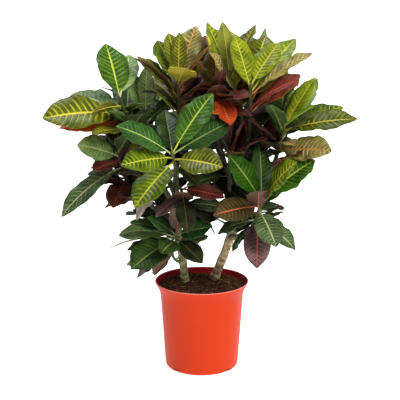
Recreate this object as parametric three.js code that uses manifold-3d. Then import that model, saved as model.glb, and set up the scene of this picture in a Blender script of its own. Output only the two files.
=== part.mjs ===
import * as THREE from "three";
import { mergeVertices } from "three/addons/utils/BufferGeometryUtils.js";
import Module from "manifold-3d";

// A croton in a round nursery pot: pot, soil, two woody stems and their leafy shoots.
// Millimetres, +Z up. The origin is the centre of the pot's flat bottom and the front faces -Y.

const wasm = await Module();
wasm.setup();

// Pot
const POT_HEIGHT = 200;
const RIM_RADIUS = 105;
const WALL = 2;
const FOOT_RADIUS = 82;
const NECK_RADIUS = 93;
const NECK_HEIGHT = 168;
const FLOOR = 3;
const POT_SIDES = 28;
const NOTCH_WIDTH = 15;
const NOTCH_HEIGHT = 8;
const NOTCH_DEPTH = 16;
const NOTCH_TURNS = [45, 135, 225, 315];

// Soil
const SOIL_LEVEL = 190;
const SOIL_RELIEF = 3.5;
const FIT_GAP = 0.35;

// Stems
const STEM_FOOT = 140;
const BARK_SIDES = 8;
const TRUNK_STEPS = 12;
const TWIG_SIDES = 5;
const BRANCH_STEPS = 4;
const SHOOT_STEPS = 3;
const SHOOT_TAPER = 0.72;
const SHOOT_BOW = 0.45;

// Leaves
const BLADE_THICKNESS = 1.1;
const PETIOLE_HALF_WIDTH = 2.2;
const PETIOLE_HALF_DEPTH = 1.7;
const TIP_HALF_WIDTH = 0.9;
const PETIOLE_SHARE = 0.14;
const OUTLINE_SHIFT = 1.05;
const OUTLINE_POWER = 0.62;
const FOLD_ANGLE = 11;
const WAVE_COUNT = 2.3;
const WAVE_RATIO = 0.13;
const TWIST_SPAN = 24;
const LARGE_STEPS = 5;
const SMALL_STEPS = 4;
const LARGE_REACH = 118;
const NARROW_RATIO = 0.3;
const TIP_CROWDING = 1.25;

// Clearances kept between leaves, and the steps by which a leaf is bent clear
const OTHER_GAP = 1.2;
const SISTER_GAP = 0.8;
const AXIS_GAP = 0.5;
const SLIVER = 0.02;
const BEND_ANGLES = [4, 8, 12, 18, 26, 36];
const BEND_SCALES = [1, 0.9, 0.8, 0.7, 0.6];
const BEND_WAYS = 8;

const rad = THREE.MathUtils.degToRad;
const point = (x, y, z) => new THREE.Vector3(x, y, z);

// A repeatable draw between 0 and 1 for leaf number i and purpose k.
function draw(i, k) {
  const wide = Math.sin(i * 12.9898 + k * 78.233) * 43758.5453;
  return wide - Math.floor(wide);
}

// A closed three.js geometry as a solid.
function solidOf(geometry) {
  const bare = geometry.clone();
  bare.deleteAttribute("normal");
  bare.deleteAttribute("uv");
  const merged = mergeVertices(bare, 1e-4);
  const corners = merged.index.array;
  const kept = [];
  for (let i = 0; i < corners.length; i += 3) {
    const [a, b, c] = corners.subarray(i, i + 3);
    if (a !== b && b !== c && c !== a) kept.push(a, b, c);
  }
  const mesh = new wasm.Mesh({
    numProp: 3,
    vertProperties: new Float32Array(merged.attributes.position.array),
    triVerts: new Uint32Array(kept),
  });
  return new wasm.Manifold(mesh);
}

// A solid as a three.js geometry with flat facets.
function geometryOf(solid) {
  const mesh = solid.getMesh();
  const count = mesh.vertProperties.length / mesh.numProp;
  const places = new Float32Array(count * 3);
  for (let i = 0; i < count; i += 1) {
    places.set(mesh.vertProperties.subarray(i * mesh.numProp, i * mesh.numProp + 3), i * 3);
  }
  const geometry = new THREE.BufferGeometry();
  geometry.setAttribute("position", new THREE.BufferAttribute(places, 3));
  geometry.setIndex(new THREE.BufferAttribute(mesh.triVerts, 1));
  const flat = geometry.toNonIndexed();
  flat.computeVertexNormals();
  return flat;
}

// A solid of revolution about Z from [radius, height] pairs that start and end on the axis.
function turned(profile, sides) {
  const geometry = new THREE.LatheGeometry(profile.map(([r, z]) => new THREE.Vector2(r, z)), sides);
  geometry.rotateX(Math.PI / 2);
  return geometry;
}

// A tube along a curve whose radius follows radiusAt(0..1).
function tube(curve, radiusAt, steps, sides) {
  const ring = new THREE.Shape();
  for (let i = 0; i < sides; i += 1) {
    const turn = (2 * Math.PI * i) / sides;
    const corner = [Math.cos(turn), Math.sin(turn)];
    if (i === 0) ring.moveTo(...corner);
    else ring.lineTo(...corner);
  }
  ring.closePath();
  const options = { steps, bevelEnabled: false, extrudePath: curve };
  const geometry = new THREE.ExtrudeGeometry(ring, options);
  const centres = curve.getSpacedPoints(steps);
  const places = geometry.attributes.position;
  const corner = new THREE.Vector3();
  for (let i = 0; i < places.count; i += 1) {
    corner.fromBufferAttribute(places, i);
    let nearest = 0;
    centres.forEach((centre, j) => {
      if (corner.distanceTo(centre) < corner.distanceTo(centres[nearest])) nearest = j;
    });
    const radius = radiusAt(nearest / steps);
    corner.sub(centres[nearest]).multiplyScalar(radius).add(centres[nearest]);
    places.setXYZ(i, corner.x, corner.y, corner.z);
  }
  return solidOf(geometry);
}

// The pot: a thin tapering wall, a flared rim with a rounded lip, and a foot with four drainage notches.
function makePot() {
  const profile = [
    [0, 0],
    [FOOT_RADIUS - 9, 0],
    [FOOT_RADIUS - 3, 2],
    [FOOT_RADIUS, 8],
    [NECK_RADIUS, NECK_HEIGHT],
    [NECK_RADIUS + 3, NECK_HEIGHT + 11],
    [RIM_RADIUS - 3.5, POT_HEIGHT - 9],
    [RIM_RADIUS, POT_HEIGHT - 1.8],
    [RIM_RADIUS - 0.7, POT_HEIGHT - 0.4],
    [RIM_RADIUS - 2.2, POT_HEIGHT],
    [RIM_RADIUS - 4.6, POT_HEIGHT - 2.8],
    [RIM_RADIUS - 6.2, POT_HEIGHT - 9.6],
    [NECK_RADIUS + 3 - WALL, NECK_HEIGHT + 10],
    [NECK_RADIUS - WALL, NECK_HEIGHT - 1],
    [FOOT_RADIUS - WALL, 9],
    [FOOT_RADIUS - 6, FLOOR],
    [0, FLOOR],
  ];
  let pot = solidOf(turned(profile, POT_SIDES));
  for (const turn of NOTCH_TURNS) {
    const cutter = new THREE.BoxGeometry(NOTCH_DEPTH, NOTCH_WIDTH, 2 * NOTCH_HEIGHT);
    cutter.translate(FOOT_RADIUS, 0, 0);
    cutter.rotateZ(rad(turn));
    pot = pot.subtract(solidOf(cutter));
  }
  return pot;
}

// Height of the soil's uneven surface above its level.
function soilRelief(x, y) {
  const broad = Math.sin(x * 0.045 + 1.1) * Math.cos(y * 0.05 - 0.4);
  const fine = Math.sin(x * 0.13 + y * 0.09) * Math.cos(y * 0.15 - x * 0.05);
  return SOIL_RELIEF * (0.55 * broad + 0.45 * fine);
}

// The soil fills the pot to a little below the rim.
function makeSoil() {
  const slope = (NECK_RADIUS - FOOT_RADIUS) / (NECK_HEIGHT - 8);
  const inner = (z) => FOOT_RADIUS - WALL - FIT_GAP + slope * (z - 8);
  const flare = NECK_RADIUS + 3 - WALL - FIT_GAP;
  const profile = [
    [0, FLOOR + FIT_GAP],
    [FOOT_RADIUS - 6.6, FLOOR + FIT_GAP],
    [FOOT_RADIUS - WALL - FIT_GAP - 0.3, 9],
    [inner(NECK_HEIGHT - 1), NECK_HEIGHT - 1],
    [flare, NECK_HEIGHT + 10],
    [flare + 2.4, SOIL_LEVEL - 5],
    [flare - 1.6, SOIL_LEVEL - 2],
    [80, SOIL_LEVEL],
    [42, SOIL_LEVEL + 1],
    [0, SOIL_LEVEL + 2],
  ];
  const geometry = turned(profile, POT_SIDES);
  const places = geometry.attributes.position;
  for (let i = 0; i < places.count; i += 1) {
    const [x, y, z] = [places.getX(i), places.getY(i), places.getZ(i)];
    if (z > SOIL_LEVEL - 3) places.setZ(i, z + soilRelief(x, y));
  }
  return solidOf(geometry);
}

// Woody stems: a trunk through measured points, and branches as cubic curves of four points.
const LEFT_TRUNK = {
  points: [
    [-37, 20, STEM_FOOT], [-37, 20, 165], [-37, 20, 190], [-40, 17, 215],
    [-43, 14, 240], [-50, 9, 300], [-56, 2, 360], [-57, 3, 400],
  ],
  radii: [9.8, 7],
};
const RIGHT_TRUNK = {
  points: [
    [27, 30, STEM_FOOT], [27, 30, 165], [28, 30, 190], [38, 25, 220],
    [52, 17, 260], [62, 11, 290], [68, 5, 340], [75, 2, 400],
  ],
  radii: [11.3, 8],
};
const branch = (name, radii, ...points) => ({ name, radii, points });
const LEFT_BRANCHES = [
  branch("low_left", [3.4, 3], [-43, 14, 236], [-62, -2, 242], [-70, -22, 266], [-62, -42, 284]),
  branch("front_low", [5, 4.2], [-53, 5, 330], [-56, -20, 345], [-46, -48, 368], [-42, -62, 386]),
  branch("front_left", [5.5, 4.6], [-55, 3, 345], [-66, -30, 370], [-60, -72, 420], [-57, -92, 454]),
  branch("top_left", [6.5, 4.8], [-57, 3, 390], [-58, 3, 440], [-50, 10, 510], [-50, 14, 558]),
  branch("upper_left", [5.8, 4.6], [-56, 2, 360], [-80, 0, 410], [-130, 3, 480], [-150, 5, 532]),
  branch("left_mid", [5, 4.2], [-52, 7, 322], [-85, 12, 355], [-150, 10, 385], [-164, 5, 424]),
  branch("left_inner", [4.6, 4], [-57, 3, 395], [-62, 14, 420], [-100, 36, 455], [-110, 32, 490]),
  branch("back_left", [5, 4.4], [-56, 3, 378], [-62, 50, 400], [-100, 110, 440], [-108, 128, 486]),
  branch("back_low_left", [4.4, 4], [-48, 10, 288], [-60, 40, 296], [-90, 90, 305], [-100, 108, 332]),
  branch("back_low_mid", [4.6, 4], [-54, 5, 345], [-46, 40, 362], [-22, 88, 384], [-16, 104, 420]),
];
const RIGHT_BRANCHES = [
  branch("lower_right", [6.5, 5], [62, 9, 296], [76, -22, 304], [106, -58, 318], [113, -76, 346]),
  branch("centre", [5, 4.4], [71, 3, 366], [64, -10, 384], [60, -26, 396], [60, -34, 426]),
  branch("top_mid", [5, 4.4], [74, 2, 396], [62, -4, 440], [36, -2, 500], [34, -8, 556]),
  branch("top", [7, 5], [75, 2, 392], [78, 1, 440], [86, 2, 520], [86, 2, 574]),
  branch("top_right", [5.6, 4.6], [76, 1, 420], [88, -14, 450], [102, -28, 520], [104, -34, 578]),
  branch("right", [6, 4.8], [74, 2, 392], [96, 0, 412], [150, -8, 436], [162, -10, 480]),
  branch("back_top", [5.4, 4.4], [75, 2, 396], [66, 40, 430], [24, 116, 490], [16, 134, 540]),
  branch("back_right", [5.4, 4.4], [75, 3, 398], [92, 34, 424], [144, 104, 450], [152, 122, 494]),
  branch("back_low_right", [4.6, 4], [65, 7, 316], [70, 34, 322], [94, 84, 334], [100, 100, 364]),
];

const asPoint = (row) => point(...row);

// Bark swells a little at the old leaf scars.
function barkRadius(radii, u) {
  const taper = THREE.MathUtils.lerp(radii[0], radii[1], u);
  return taper * (1 + 0.05 * Math.sin(u * 37));
}

function trunkSolid(trunk, extra, drop) {
  const points = trunk.points.map(asPoint);
  points[0].z -= drop;
  const curve = new THREE.CatmullRomCurve3(points);
  return tube(curve, (u) => barkRadius(trunk.radii, u) + extra, TRUNK_STEPS, BARK_SIDES);
}

const branchCurve = (row) => new THREE.CubicBezierCurve3(...row.points.map(asPoint));

function makeStem(trunk, branches) {
  let stem = trunkSolid(trunk, 0, 0);
  for (const row of branches) {
    const radiusAt = (u) => THREE.MathUtils.lerp(row.radii[0], row.radii[1], u);
    stem = stem.add(tube(branchCurve(row), radiusAt, BRANCH_STEPS, TWIG_SIDES));
  }
  return stem;
}

// One leaf: where it leaves its shoot (0 foot, 1 crown), where its tip is, how far the midrib bends,
// the roll of the upper face about the line from base to tip, and the blade's width to its length.
const leaf = (station, x, y, z, arch, roll, ratio) => ({ station, tip: [x, y, z], arch, roll, ratio });

// The leafy shoots. Each grows on from the branch of the same name and ends at its crown.
const SHOOTS = [
  { name: "front_left", crown: [-62, -148, 520], leaves: [
    leaf(1, 23, -100, 639, 18, 25, 0.46),
    leaf(0.95, -175, -190, 587, 28, -45, 0.44),
    leaf(0.85, -164, -222, 512, 22, -45, 0.46),
    leaf(0.7, -138, -218, 422, 20, -15, 0.5),
    leaf(0.78, 42, -218, 508, 24, 45, 0.5),
    leaf(0.98, 60, -90, 577, 16, 40, 0.4),
    leaf(0.3, -140, -118, 370, 30, -10, 0.5),
    leaf(0.5, -4, -150, 452, 26, 20, 0.42),
    leaf(0.92, -80, -38, 594, 12, 0, 0.44),
  ] },
  { name: "lower_right", crown: [128, -108, 410], leaves: [
    leaf(0.97, 56, -118, 512, 20, -60, 0.46),
    leaf(0.9, 196, -172, 508, 20, 48, 0.54),
    leaf(0.95, 241, -92, 495, 24, 28, 0.56),
    leaf(0.8, 24, -172, 394, 26, -42, 0.5),
    leaf(0.65, 155, -194, 332, 32, 10, 0.54),
    leaf(0.4, 199, -130, 307, 28, 20, 0.46),
    leaf(0.5, 116, -170, 278, 30, 0, 0.48),
    leaf(0.6, 175, -14, 375, 20, 16, 0.5),
    leaf(0.3, 34, -62, 324, 24, -20, 0.58),
    leaf(0.15, 66, -78, 288, 20, -20, 0.4),
    leaf(0.85, 122, -48, 526, 14, 40, 0.44),
    leaf(0.75, 84, -40, 440, 16, 0, 0.54),
    leaf(0.7, 184, 24, 450, 26, 0, 0.48),
  ] },
  { name: "upper_left", crown: [-178, -12, 614], leaves: [
    leaf(0.95, -212, 70, 722, 14, 0, 0.52),
    leaf(1, -160, 82, 696, 10, 5, 0.48),
    leaf(0.6, -340, -64, 580, 24, -38, 0.5),
    leaf(0.45, -290, 58, 610, 42, -22, 0.48),
    leaf(0.8, -236, -70, 584, 30, 50, 0.36),
    leaf(0.2, -309, -32, 552, 16, 36, 0.4),
    leaf(0.12, -240, -66, 548, 20, -12, 0.44),
    leaf(0.7, -250, 118, 584, 24, 0, 0.46),
    leaf(0.5, -165, 140, 628, 26, 0, 0.48),
    leaf(0.4, -104, -44, 592, 20, 20, 0.5),
    leaf(0.15, -128, -74, 612, 14, 0, 0.5),
    leaf(0.2, -192, -72, 594, 12, 0, 0.46),
  ] },
  { name: "top_left", crown: [-52, 20, 645], leaves: [
    leaf(0.9, -98, 85, 728, 14, 5, 0.58),
    leaf(0.6, -142, 30, 700, 24, -14, 0.44),
    leaf(0.95, -36, -84, 690, 12, -14, 0.54),
    leaf(1, -74, 68, 746, 34, 0, 0.4),
    leaf(1, -27, 52, 746, 12, 10, 0.32),
    leaf(0.9, -30, 118, 746, 16, 0, 0.46),
    leaf(0.6, 8, 108, 736, 18, 0, 0.42),
    leaf(0.85, 29, -32, 742, 12, 14, 0.28),
    leaf(0.25, 2, -62, 656, 16, 20, 0.42),
    leaf(0.1, -112, -14, 638, 18, -10, 0.4),
    leaf(0.4, -125, 112, 640, 30, 0, 0.48),
    leaf(0.55, -35, 155, 656, 34, 0, 0.48),
  ] },
  { name: "top_right", crown: [104, -52, 648], leaves: [
    leaf(1, 165, -6, 734, 12, 22, 0.52),
    leaf(0.85, 62, -12, 748, 12, -20, 0.42),
    leaf(0.9, 140, 58, 742, 14, 5, 0.46),
    leaf(0.7, 104, 84, 750, 12, 0, 0.42),
    leaf(0.6, 142, 118, 752, 8, 30, 0.11),
    leaf(0.8, 206, 30, 744, 14, 16, 0.36),
    leaf(0.7, 224, -92, 732, 22, 26, 0.36),
    leaf(0.3, 194, -150, 674, 18, 36, 0.44),
    leaf(0.12, 214, 4, 664, 16, 20, 0.46),
    leaf(0.5, 178, 100, 672, 26, 0, 0.48),
  ] },
  { name: "top", crown: [56, 0, 656], leaves: [
    leaf(0.9, 44, -14, 780, 10, 40, 0.28),
    leaf(1, 74, 110, 758, 8, 0, 0.42),
    leaf(0.55, 16, -40, 718, 14, -45, 0.44),
    leaf(0.5, 8, 132, 756, 12, 0, 0.42),
    leaf(0.7, 114, 118, 736, 20, 0, 0.46),
    leaf(0.5, 52, 128, 688, 26, 0, 0.48),
  ] },
  { name: "top_mid", crown: [30, -20, 626], leaves: [
    leaf(0.9, -46, -70, 616, 18, 10, 0.44),
    leaf(0.6, 20, -112, 600, 16, -30, 0.52),
    leaf(0.95, 42, -84, 706, 14, 20, 0.34),
    leaf(0.8, 100, -98, 632, 20, 20, 0.48),
    leaf(0.4, 112, -62, 586, 24, 10, 0.48),
    leaf(1, -14, 38, 700, 16, 0, 0.44),
    leaf(0.95, 62, 62, 702, 16, 0, 0.46),
    leaf(0.3, -30, 20, 572, 26, 0, 0.48),
  ] },
  { name: "right", crown: [176, -20, 552], leaves: [
    leaf(1, 236, -92, 610, 12, 20, 0.5),
    leaf(0.9, 332, -62, 578, 20, 30, 0.4),
    leaf(0.8, 310, 18, 590, 22, 18, 0.46),
    leaf(1, 247, 58, 632, 20, 10, 0.48),
    leaf(0.95, 258, 96, 642, 16, 10, 0.3),
    leaf(0.9, 144, -76, 612, 16, -6, 0.5),
    leaf(0.3, 274, -112, 518, 18, 40, 0.48),
    leaf(0.5, 196, -110, 530, 24, 10, 0.4),
    leaf(0.6, 255, 96, 560, 30, 0, 0.48),
    leaf(0.2, 240, 60, 470, 34, 10, 0.48),
    leaf(0.5, 126, -78, 528, 20, -20, 0.5),
    leaf(0.3, 150, -72, 498, 16, -10, 0.5),
  ] },
  { name: "low_left", crown: [-56, -72, 326], leaves: [
    leaf(0.95, -116, -112, 374, 18, -46, 0.5),
    leaf(0.8, -151, -142, 268, 26, -28, 0.58),
    leaf(0.6, -164, -60, 286, 26, -10, 0.5),
    leaf(0.5, -143, -62, 224, 22, -10, 0.38),
    leaf(0.35, -112, -48, 222, 22, 0, 0.4),
    leaf(0.3, -169, -16, 238, 24, -10, 0.22),
    leaf(0.75, -214, -42, 278, 40, 10, 0.15),
    leaf(0.85, -184, -14, 308, 50, -30, 0.42),
    leaf(0.95, 20, -108, 352, 18, 50, 0.54),
    leaf(0.75, 1, -132, 278, 24, 25, 0.48),
    leaf(1, -44, -122, 402, 14, 0, 0.48),
    leaf(0.3, 14, -14, 306, 22, 20, 0.5),
    leaf(1, -156, -88, 356, 22, -16, 0.5),
  ] },
  { name: "left_mid", crown: [-183, -8, 492], leaves: [
    leaf(0.9, -270, -40, 517, 22, -46, 0.66),
    leaf(0.75, -233, -84, 470, 20, -20, 0.46),
    leaf(0.55, -304, -72, 365, 46, -26, 0.3),
    leaf(0.25, -256, 32, 436, 26, -10, 0.56),
    leaf(0.15, -192, -76, 386, 22, -10, 0.58),
    leaf(0.8, -236, 92, 512, 28, 0, 0.48),
    leaf(0.6, -106, -76, 452, 24, 10, 0.46),
    leaf(1, -150, -74, 552, 14, 0, 0.5),
    leaf(0.2, -150, -62, 466, 14, 10, 0.46),
  ] },
  { name: "left_inner", crown: [-124, 25, 566], leaves: [
    leaf(0.95, -140, 72, 664, 14, 0, 0.5),
    leaf(0.85, -54, 18, 610, 14, 25, 0.48),
    leaf(0.6, -112, 130, 590, 34, 0, 0.48),
    leaf(0.4, -66, 96, 540, 30, 0, 0.48),
    leaf(0.3, -168, -62, 516, 24, -20, 0.52),
    leaf(0.1, -138, -72, 460, 24, -10, 0.48),
    leaf(1, -120, 40, 680, 12, 0, 0.34),
  ] },
  { name: "front_low", crown: [-46, -108, 438], leaves: [
    leaf(0.95, 47, -148, 426, 18, 28, 0.46),
    leaf(0.5, 28, -46, 318, 24, 20, 0.5),
    leaf(0.9, 42, -66, 456, 20, 20, 0.46),
    leaf(0.6, -98, -122, 378, 22, -20, 0.46),
    leaf(0.75, -30, -158, 352, 26, 0, 0.46),
    leaf(0.3, 14, -100, 352, 24, 0, 0.54),
    leaf(0.15, 44, -86, 384, 20, 30, 0.5),
  ] },
  { name: "centre", crown: [60, -44, 500], leaves: [
    leaf(0.9, 142, -92, 534, 22, 10, 0.5),
    leaf(0.8, 78, -132, 506, 18, 0, 0.46),
    leaf(0.85, -18, -62, 548, 22, -10, 0.48),
    leaf(1, 8, 24, 586, 18, 0, 0.48),
    leaf(0.95, 66, -66, 618, 14, 20, 0.46),
    leaf(0.6, 128, 30, 520, 30, 0, 0.48),
    leaf(0.3, -16, -14, 436, 26, 0, 0.48),
    leaf(0.5, 124, -62, 446, 26, 0, 0.46),
    leaf(0.7, 116, -62, 588, 16, 10, 0.46),
  ] },
  { name: "back_low_mid", crown: [-14, 112, 482], leaves: [
    leaf(0.9, -84, 62, 560, 20, 0, 0.5),
    leaf(1, 14, 84, 590, 18, 0, 0.5),
    leaf(0.7, 92, 76, 510, 26, 10, 0.5),
    leaf(0.5, -96, 40, 452, 26, -10, 0.5),
    leaf(0.6, 10, 232, 470, 32, 0, 0.48),
  ] },
];

// The shoots at the back carry their leaves in a rising spiral.
const SPIRAL_TURN = 137.5;
const SPIRAL_RATIO = 0.47;
const SPIRALS = [
  { name: "back_left", crown: [-118, 146, 560], count: 6, first: 20, reach: 156 },
  { name: "back_top", crown: [4, 140, 618], count: 7, first: 70, reach: 160 },
  { name: "back_right", crown: [164, 138, 566], count: 6, first: 110, reach: 156 },
  { name: "back_low_left", crown: [-108, 118, 392], count: 5, first: 60, reach: 128 },
  { name: "back_low_right", crown: [108, 116, 436], count: 5, first: 95, reach: 146 },
];

function spiralLeaves(spiral, axis) {
  const leaves = [];
  for (let i = 0; i < spiral.count; i += 1) {
    const share = i / (spiral.count - 1);
    const station = 0.3 + 0.7 * share;
    const turn = rad(spiral.first + SPIRAL_TURN * i);
    const rise = rad(-28 + 92 * share);
    const reach = spiral.reach * (1 - 0.18 * share);
    const out = point(Math.cos(rise) * Math.cos(turn), Math.cos(rise) * Math.sin(turn), Math.sin(rise));
    const tip = axis.getPoint(station).addScaledVector(out, reach);
    leaves.push(leaf(station, tip.x, tip.y, tip.z, 34 - 18 * share, 0, SPIRAL_RATIO));
  }
  return leaves;
}

// The line of a shoot: it leaves the end of its branch in the branch's direction.
function shootAxis(row, crown) {
  const end = asPoint(row.points[3]);
  const way = end.clone().sub(asPoint(row.points[2])).normalize();
  const foot = end.addScaledVector(way, FIT_GAP);
  const top = asPoint(crown);
  const middle = foot.clone().addScaledVector(way, SHOOT_BOW * foot.distanceTo(top));
  return new THREE.QuadraticBezierCurve3(foot, middle, top);
}

// A leaf's own frame: the line to its tip, its upper side, and the circular arc of its midrib.
function leafFrame(base, tip, arch, roll) {
  const line = tip.clone().sub(base);
  const reach = line.length();
  line.normalize();
  const up = point(0, 0, 1).addScaledVector(line, -line.z).normalize();
  const across = line.clone().cross(up);
  const face = up.multiplyScalar(Math.cos(rad(roll))).addScaledVector(across, Math.sin(rad(roll)));
  const side = line.clone().cross(face);
  return { base, reach, line, face, side, half: rad(arch) / 2 };
}

// The place on a blade at t along the midrib and c (-1, 0 or 1) across, and the upward direction there.
function bladePlace(frame, form, t, c) {
  const phi = (1 - 2 * t) * frame.half;
  const chord = 2 * Math.sin(frame.half);
  const along = 0.5 - Math.sin(phi) / chord;
  const bow = (Math.cos(phi) - Math.cos(frame.half)) / chord;
  const place = frame.base.clone();
  place.addScaledVector(frame.line, frame.reach * along);
  place.addScaledVector(frame.face, frame.reach * bow);
  const normal = frame.face.clone().multiplyScalar(Math.cos(phi)).addScaledVector(frame.line, -Math.sin(phi));
  const twist = form.twist * (t - 0.5);
  const side = frame.side.clone().multiplyScalar(Math.cos(twist)).addScaledVector(normal, Math.sin(twist));
  normal.multiplyScalar(Math.cos(twist)).addScaledVector(frame.side, -Math.sin(twist));
  const v = Math.max(0, (t - PETIOLE_SHARE) / (1 - PETIOLE_SHARE));
  const swell = Math.pow(Math.max(0, Math.sin(Math.PI * Math.pow(v, OUTLINE_SHIFT))), OUTLINE_POWER);
  const width = Math.max(TIP_HALF_WIDTH, form.halfWidth * swell);
  const phase = c < 0 ? form.phases[0] : form.phases[1];
  const wave = WAVE_RATIO * form.halfWidth * swell * Math.sin(2 * Math.PI * (WAVE_COUNT * v + phase));
  if (c !== 0) {
    place.addScaledVector(side, c * width * Math.cos(form.fold));
    place.addScaledVector(normal, width * Math.sin(form.fold) + wave);
  }
  return { place, normal, side };
}

// The petiole is a three-sided rod: two upper corners and a keel.
function petiolePlace(frame, form, t, c, share) {
  const { place, normal, side } = bladePlace(frame, form, t, 0);
  if (c === 0 && share < 0) return place.addScaledVector(normal, -PETIOLE_HALF_DEPTH);
  const way = c < 0 ? -1 : 1;
  return place.addScaledVector(side, way * PETIOLE_HALF_WIDTH).addScaledVector(normal, PETIOLE_HALF_DEPTH);
}

// A closed leaf of three rows of points, left edge, midrib and right edge, on both faces alike.
function bladeGeometry(frame, form, stations) {
  const rings = stations.length;
  const sheet = new THREE.PlaneGeometry(2, 1, 2, rings - 1);
  const places = [];
  for (const share of [0.5, -0.5]) {
    for (const t of stations) {
      for (const c of [-1, 0, 1]) {
        if (t <= PETIOLE_SHARE) {
          places.push(...petiolePlace(frame, form, t, c, share).toArray());
          continue;
        }
        const { place, normal } = bladePlace(frame, form, t, c);
        places.push(...place.addScaledVector(normal, share * BLADE_THICKNESS).toArray());
      }
    }
  }
  const under = rings * 3;
  const faces = [];
  const grid = sheet.index.array;
  for (let i = 0; i < grid.length; i += 3) {
    faces.push(grid[i], grid[i + 2], grid[i + 1]);
    faces.push(grid[i] + under, grid[i + 1] + under, grid[i + 2] + under);
  }
  const rim = [0, 1, 2];
  for (let i = 1; i < rings; i += 1) rim.push(3 * i + 2);
  rim.push(3 * rings - 2, 3 * rings - 3);
  for (let i = rings - 2; i > 0; i -= 1) rim.push(3 * i);
  rim.forEach((a, i) => {
    const b = rim[(i + 1) % rim.length];
    faces.push(b, a, a + under, b, a + under, b + under);
  });
  const geometry = new THREE.BufferGeometry();
  geometry.setAttribute("position", new THREE.Float32BufferAttribute(places, 3));
  geometry.setIndex(faces);
  return geometry;
}

// The small bends tried for a leaf, mildest first: a swing of its tip and a shorter blade.
const BENDS = [{ angle: 0, way: 0, scale: 1, cost: 0 }];
BEND_SCALES.forEach((scale, i) => {
  if (i > 0) BENDS.push({ angle: 0, way: 0, scale, cost: 1.4 * i });
  BEND_ANGLES.forEach((angle, j) => {
    for (let k = 0; k < BEND_WAYS; k += 1) {
      const way = (2 * Math.PI * k) / BEND_WAYS;
      BENDS.push({ angle: rad(angle), way, scale, cost: j + 1 + 1.4 * i + 0.01 * k });
    }
  });
});
BENDS.sort((a, b) => a.cost - b.cost);

function bentTip(base, tip, bend) {
  const line = tip.clone().sub(base);
  const reach = line.length() * bend.scale;
  line.normalize();
  const up = point(0, 0, 1).addScaledVector(line, -line.z).normalize();
  const across = line.clone().cross(up);
  const swing = up.multiplyScalar(Math.sin(bend.way)).addScaledVector(across, Math.cos(bend.way));
  line.multiplyScalar(Math.cos(bend.angle)).addScaledVector(swing, Math.sin(bend.angle));
  return base.clone().addScaledVector(line, reach);
}

// A leaf's whole solid and the free outer part of its blade.
function leafSolids(row, number, base, bend) {
  const tip = bentTip(base, asPoint(row.tip), bend);
  const frame = leafFrame(base, tip, row.arch, row.roll);
  const form = {
    halfWidth: 0.5 * row.ratio * frame.reach,
    fold: rad(FOLD_ANGLE),
    twist: rad(TWIST_SPAN) * (draw(number, 1) - 0.5),
    phases: [draw(number, 2), draw(number, 3)],
  };
  const large = frame.reach > LARGE_REACH && row.ratio > NARROW_RATIO;
  const steps = large && !row.plain ? LARGE_STEPS : SMALL_STEPS;
  const stations = [0, PETIOLE_SHARE];
  for (let i = 1; i <= steps; i += 1) {
    const v = 1 - Math.pow(1 - i / steps, TIP_CROWDING);
    stations.push(PETIOLE_SHARE + (1 - PETIOLE_SHARE) * v);
  }
  return {
    whole: solidOf(bladeGeometry(frame, form, stations)),
    free: solidOf(bladeGeometry(frame, form, stations.slice(2))),
  };
}

// Whether two boxes come within a gap of one another.
function boxesNear(a, b, gap) {
  return [0, 1, 2].every((k) => a.min[k] - gap < b.max[k] && b.min[k] - gap < a.max[k]);
}

function isClear(solid, others, gap) {
  const box = solid.boundingBox();
  return others.every((other) => {
    if (!boxesNear(box, other.boundingBox(), gap)) return true;
    return solid.minGap(other, 2 * gap) >= gap;
  });
}

const pot = makePot();
const leftHole = trunkSolid(LEFT_TRUNK, FIT_GAP, FIT_GAP);
const rightHole = trunkSolid(RIGHT_TRUNK, FIT_GAP, FIT_GAP);
const soil = makeSoil().subtract(leftHole).subtract(rightHole);
const leftStem = makeStem(LEFT_TRUNK, LEFT_BRANCHES);
const rightStem = makeStem(RIGHT_TRUNK, RIGHT_BRANCHES);

const branches = [...LEFT_BRANCHES, ...RIGHT_BRANCHES];
const shoots = [...SHOOTS, ...SPIRALS].map((shoot) => {
  const row = branches.find((candidate) => candidate.name === shoot.name);
  const axis = shootAxis(row, shoot.crown);
  const thick = row.radii[1];
  const radiusAt = (u) => THREE.MathUtils.lerp(thick, SHOOT_TAPER * thick, u);
  const axisSolid = tube(axis, radiusAt, SHOOT_STEPS, TWIG_SIDES);
  const leaves = shoot.leaves || spiralLeaves(shoot, axis).map((one) => ({ ...one, plain: true }));
  return { name: shoot.name, axis, axisSolid, leaves, whole: [], free: [] };
});

let number = 0;
for (const shoot of shoots) {
  const others = shoots.filter((other) => other !== shoot);
  const twigs = others.map((other) => other.axisSolid);
  const placed = others.flatMap((other) => other.whole);
  const strangers = [pot, soil, leftStem, rightStem, ...twigs, ...placed];
  for (const row of shoot.leaves) {
    const base = shoot.axis.getPoint(row.station);
    let made;
    for (const bend of BENDS) {
      made = leafSolids(row, number, base, bend);
      const apart = isClear(made.free, shoot.free, SISTER_GAP);
      const offAxis = isClear(made.free, [shoot.axisSolid], AXIS_GAP);
      if (apart && offAxis && isClear(made.whole, strangers, OTHER_GAP)) break;
    }
    shoot.whole.push(made.whole);
    shoot.free.push(made.free);
    number += 1;
  }
}

// The main body of a fused shoot, with any hollow sealed between crossing leaf roots filled
// and the slivers left by the crossings taken out.
function largestBody(solid) {
  const bodies = solid.simplify(SLIVER).decompose();
  return bodies.reduce((best, one) => (one.volume() > best.volume() ? one : best));
}

const POT_RED = 0xe4462a;
const SOIL_BROWN = 0x2f1d14;
const BARK_GREEN = 0x8a7f5a;
const BARK_TAN = 0xa8916c;
const LEAF_GREEN = 0x3f6b2c;
const part = new THREE.Group();

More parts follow.
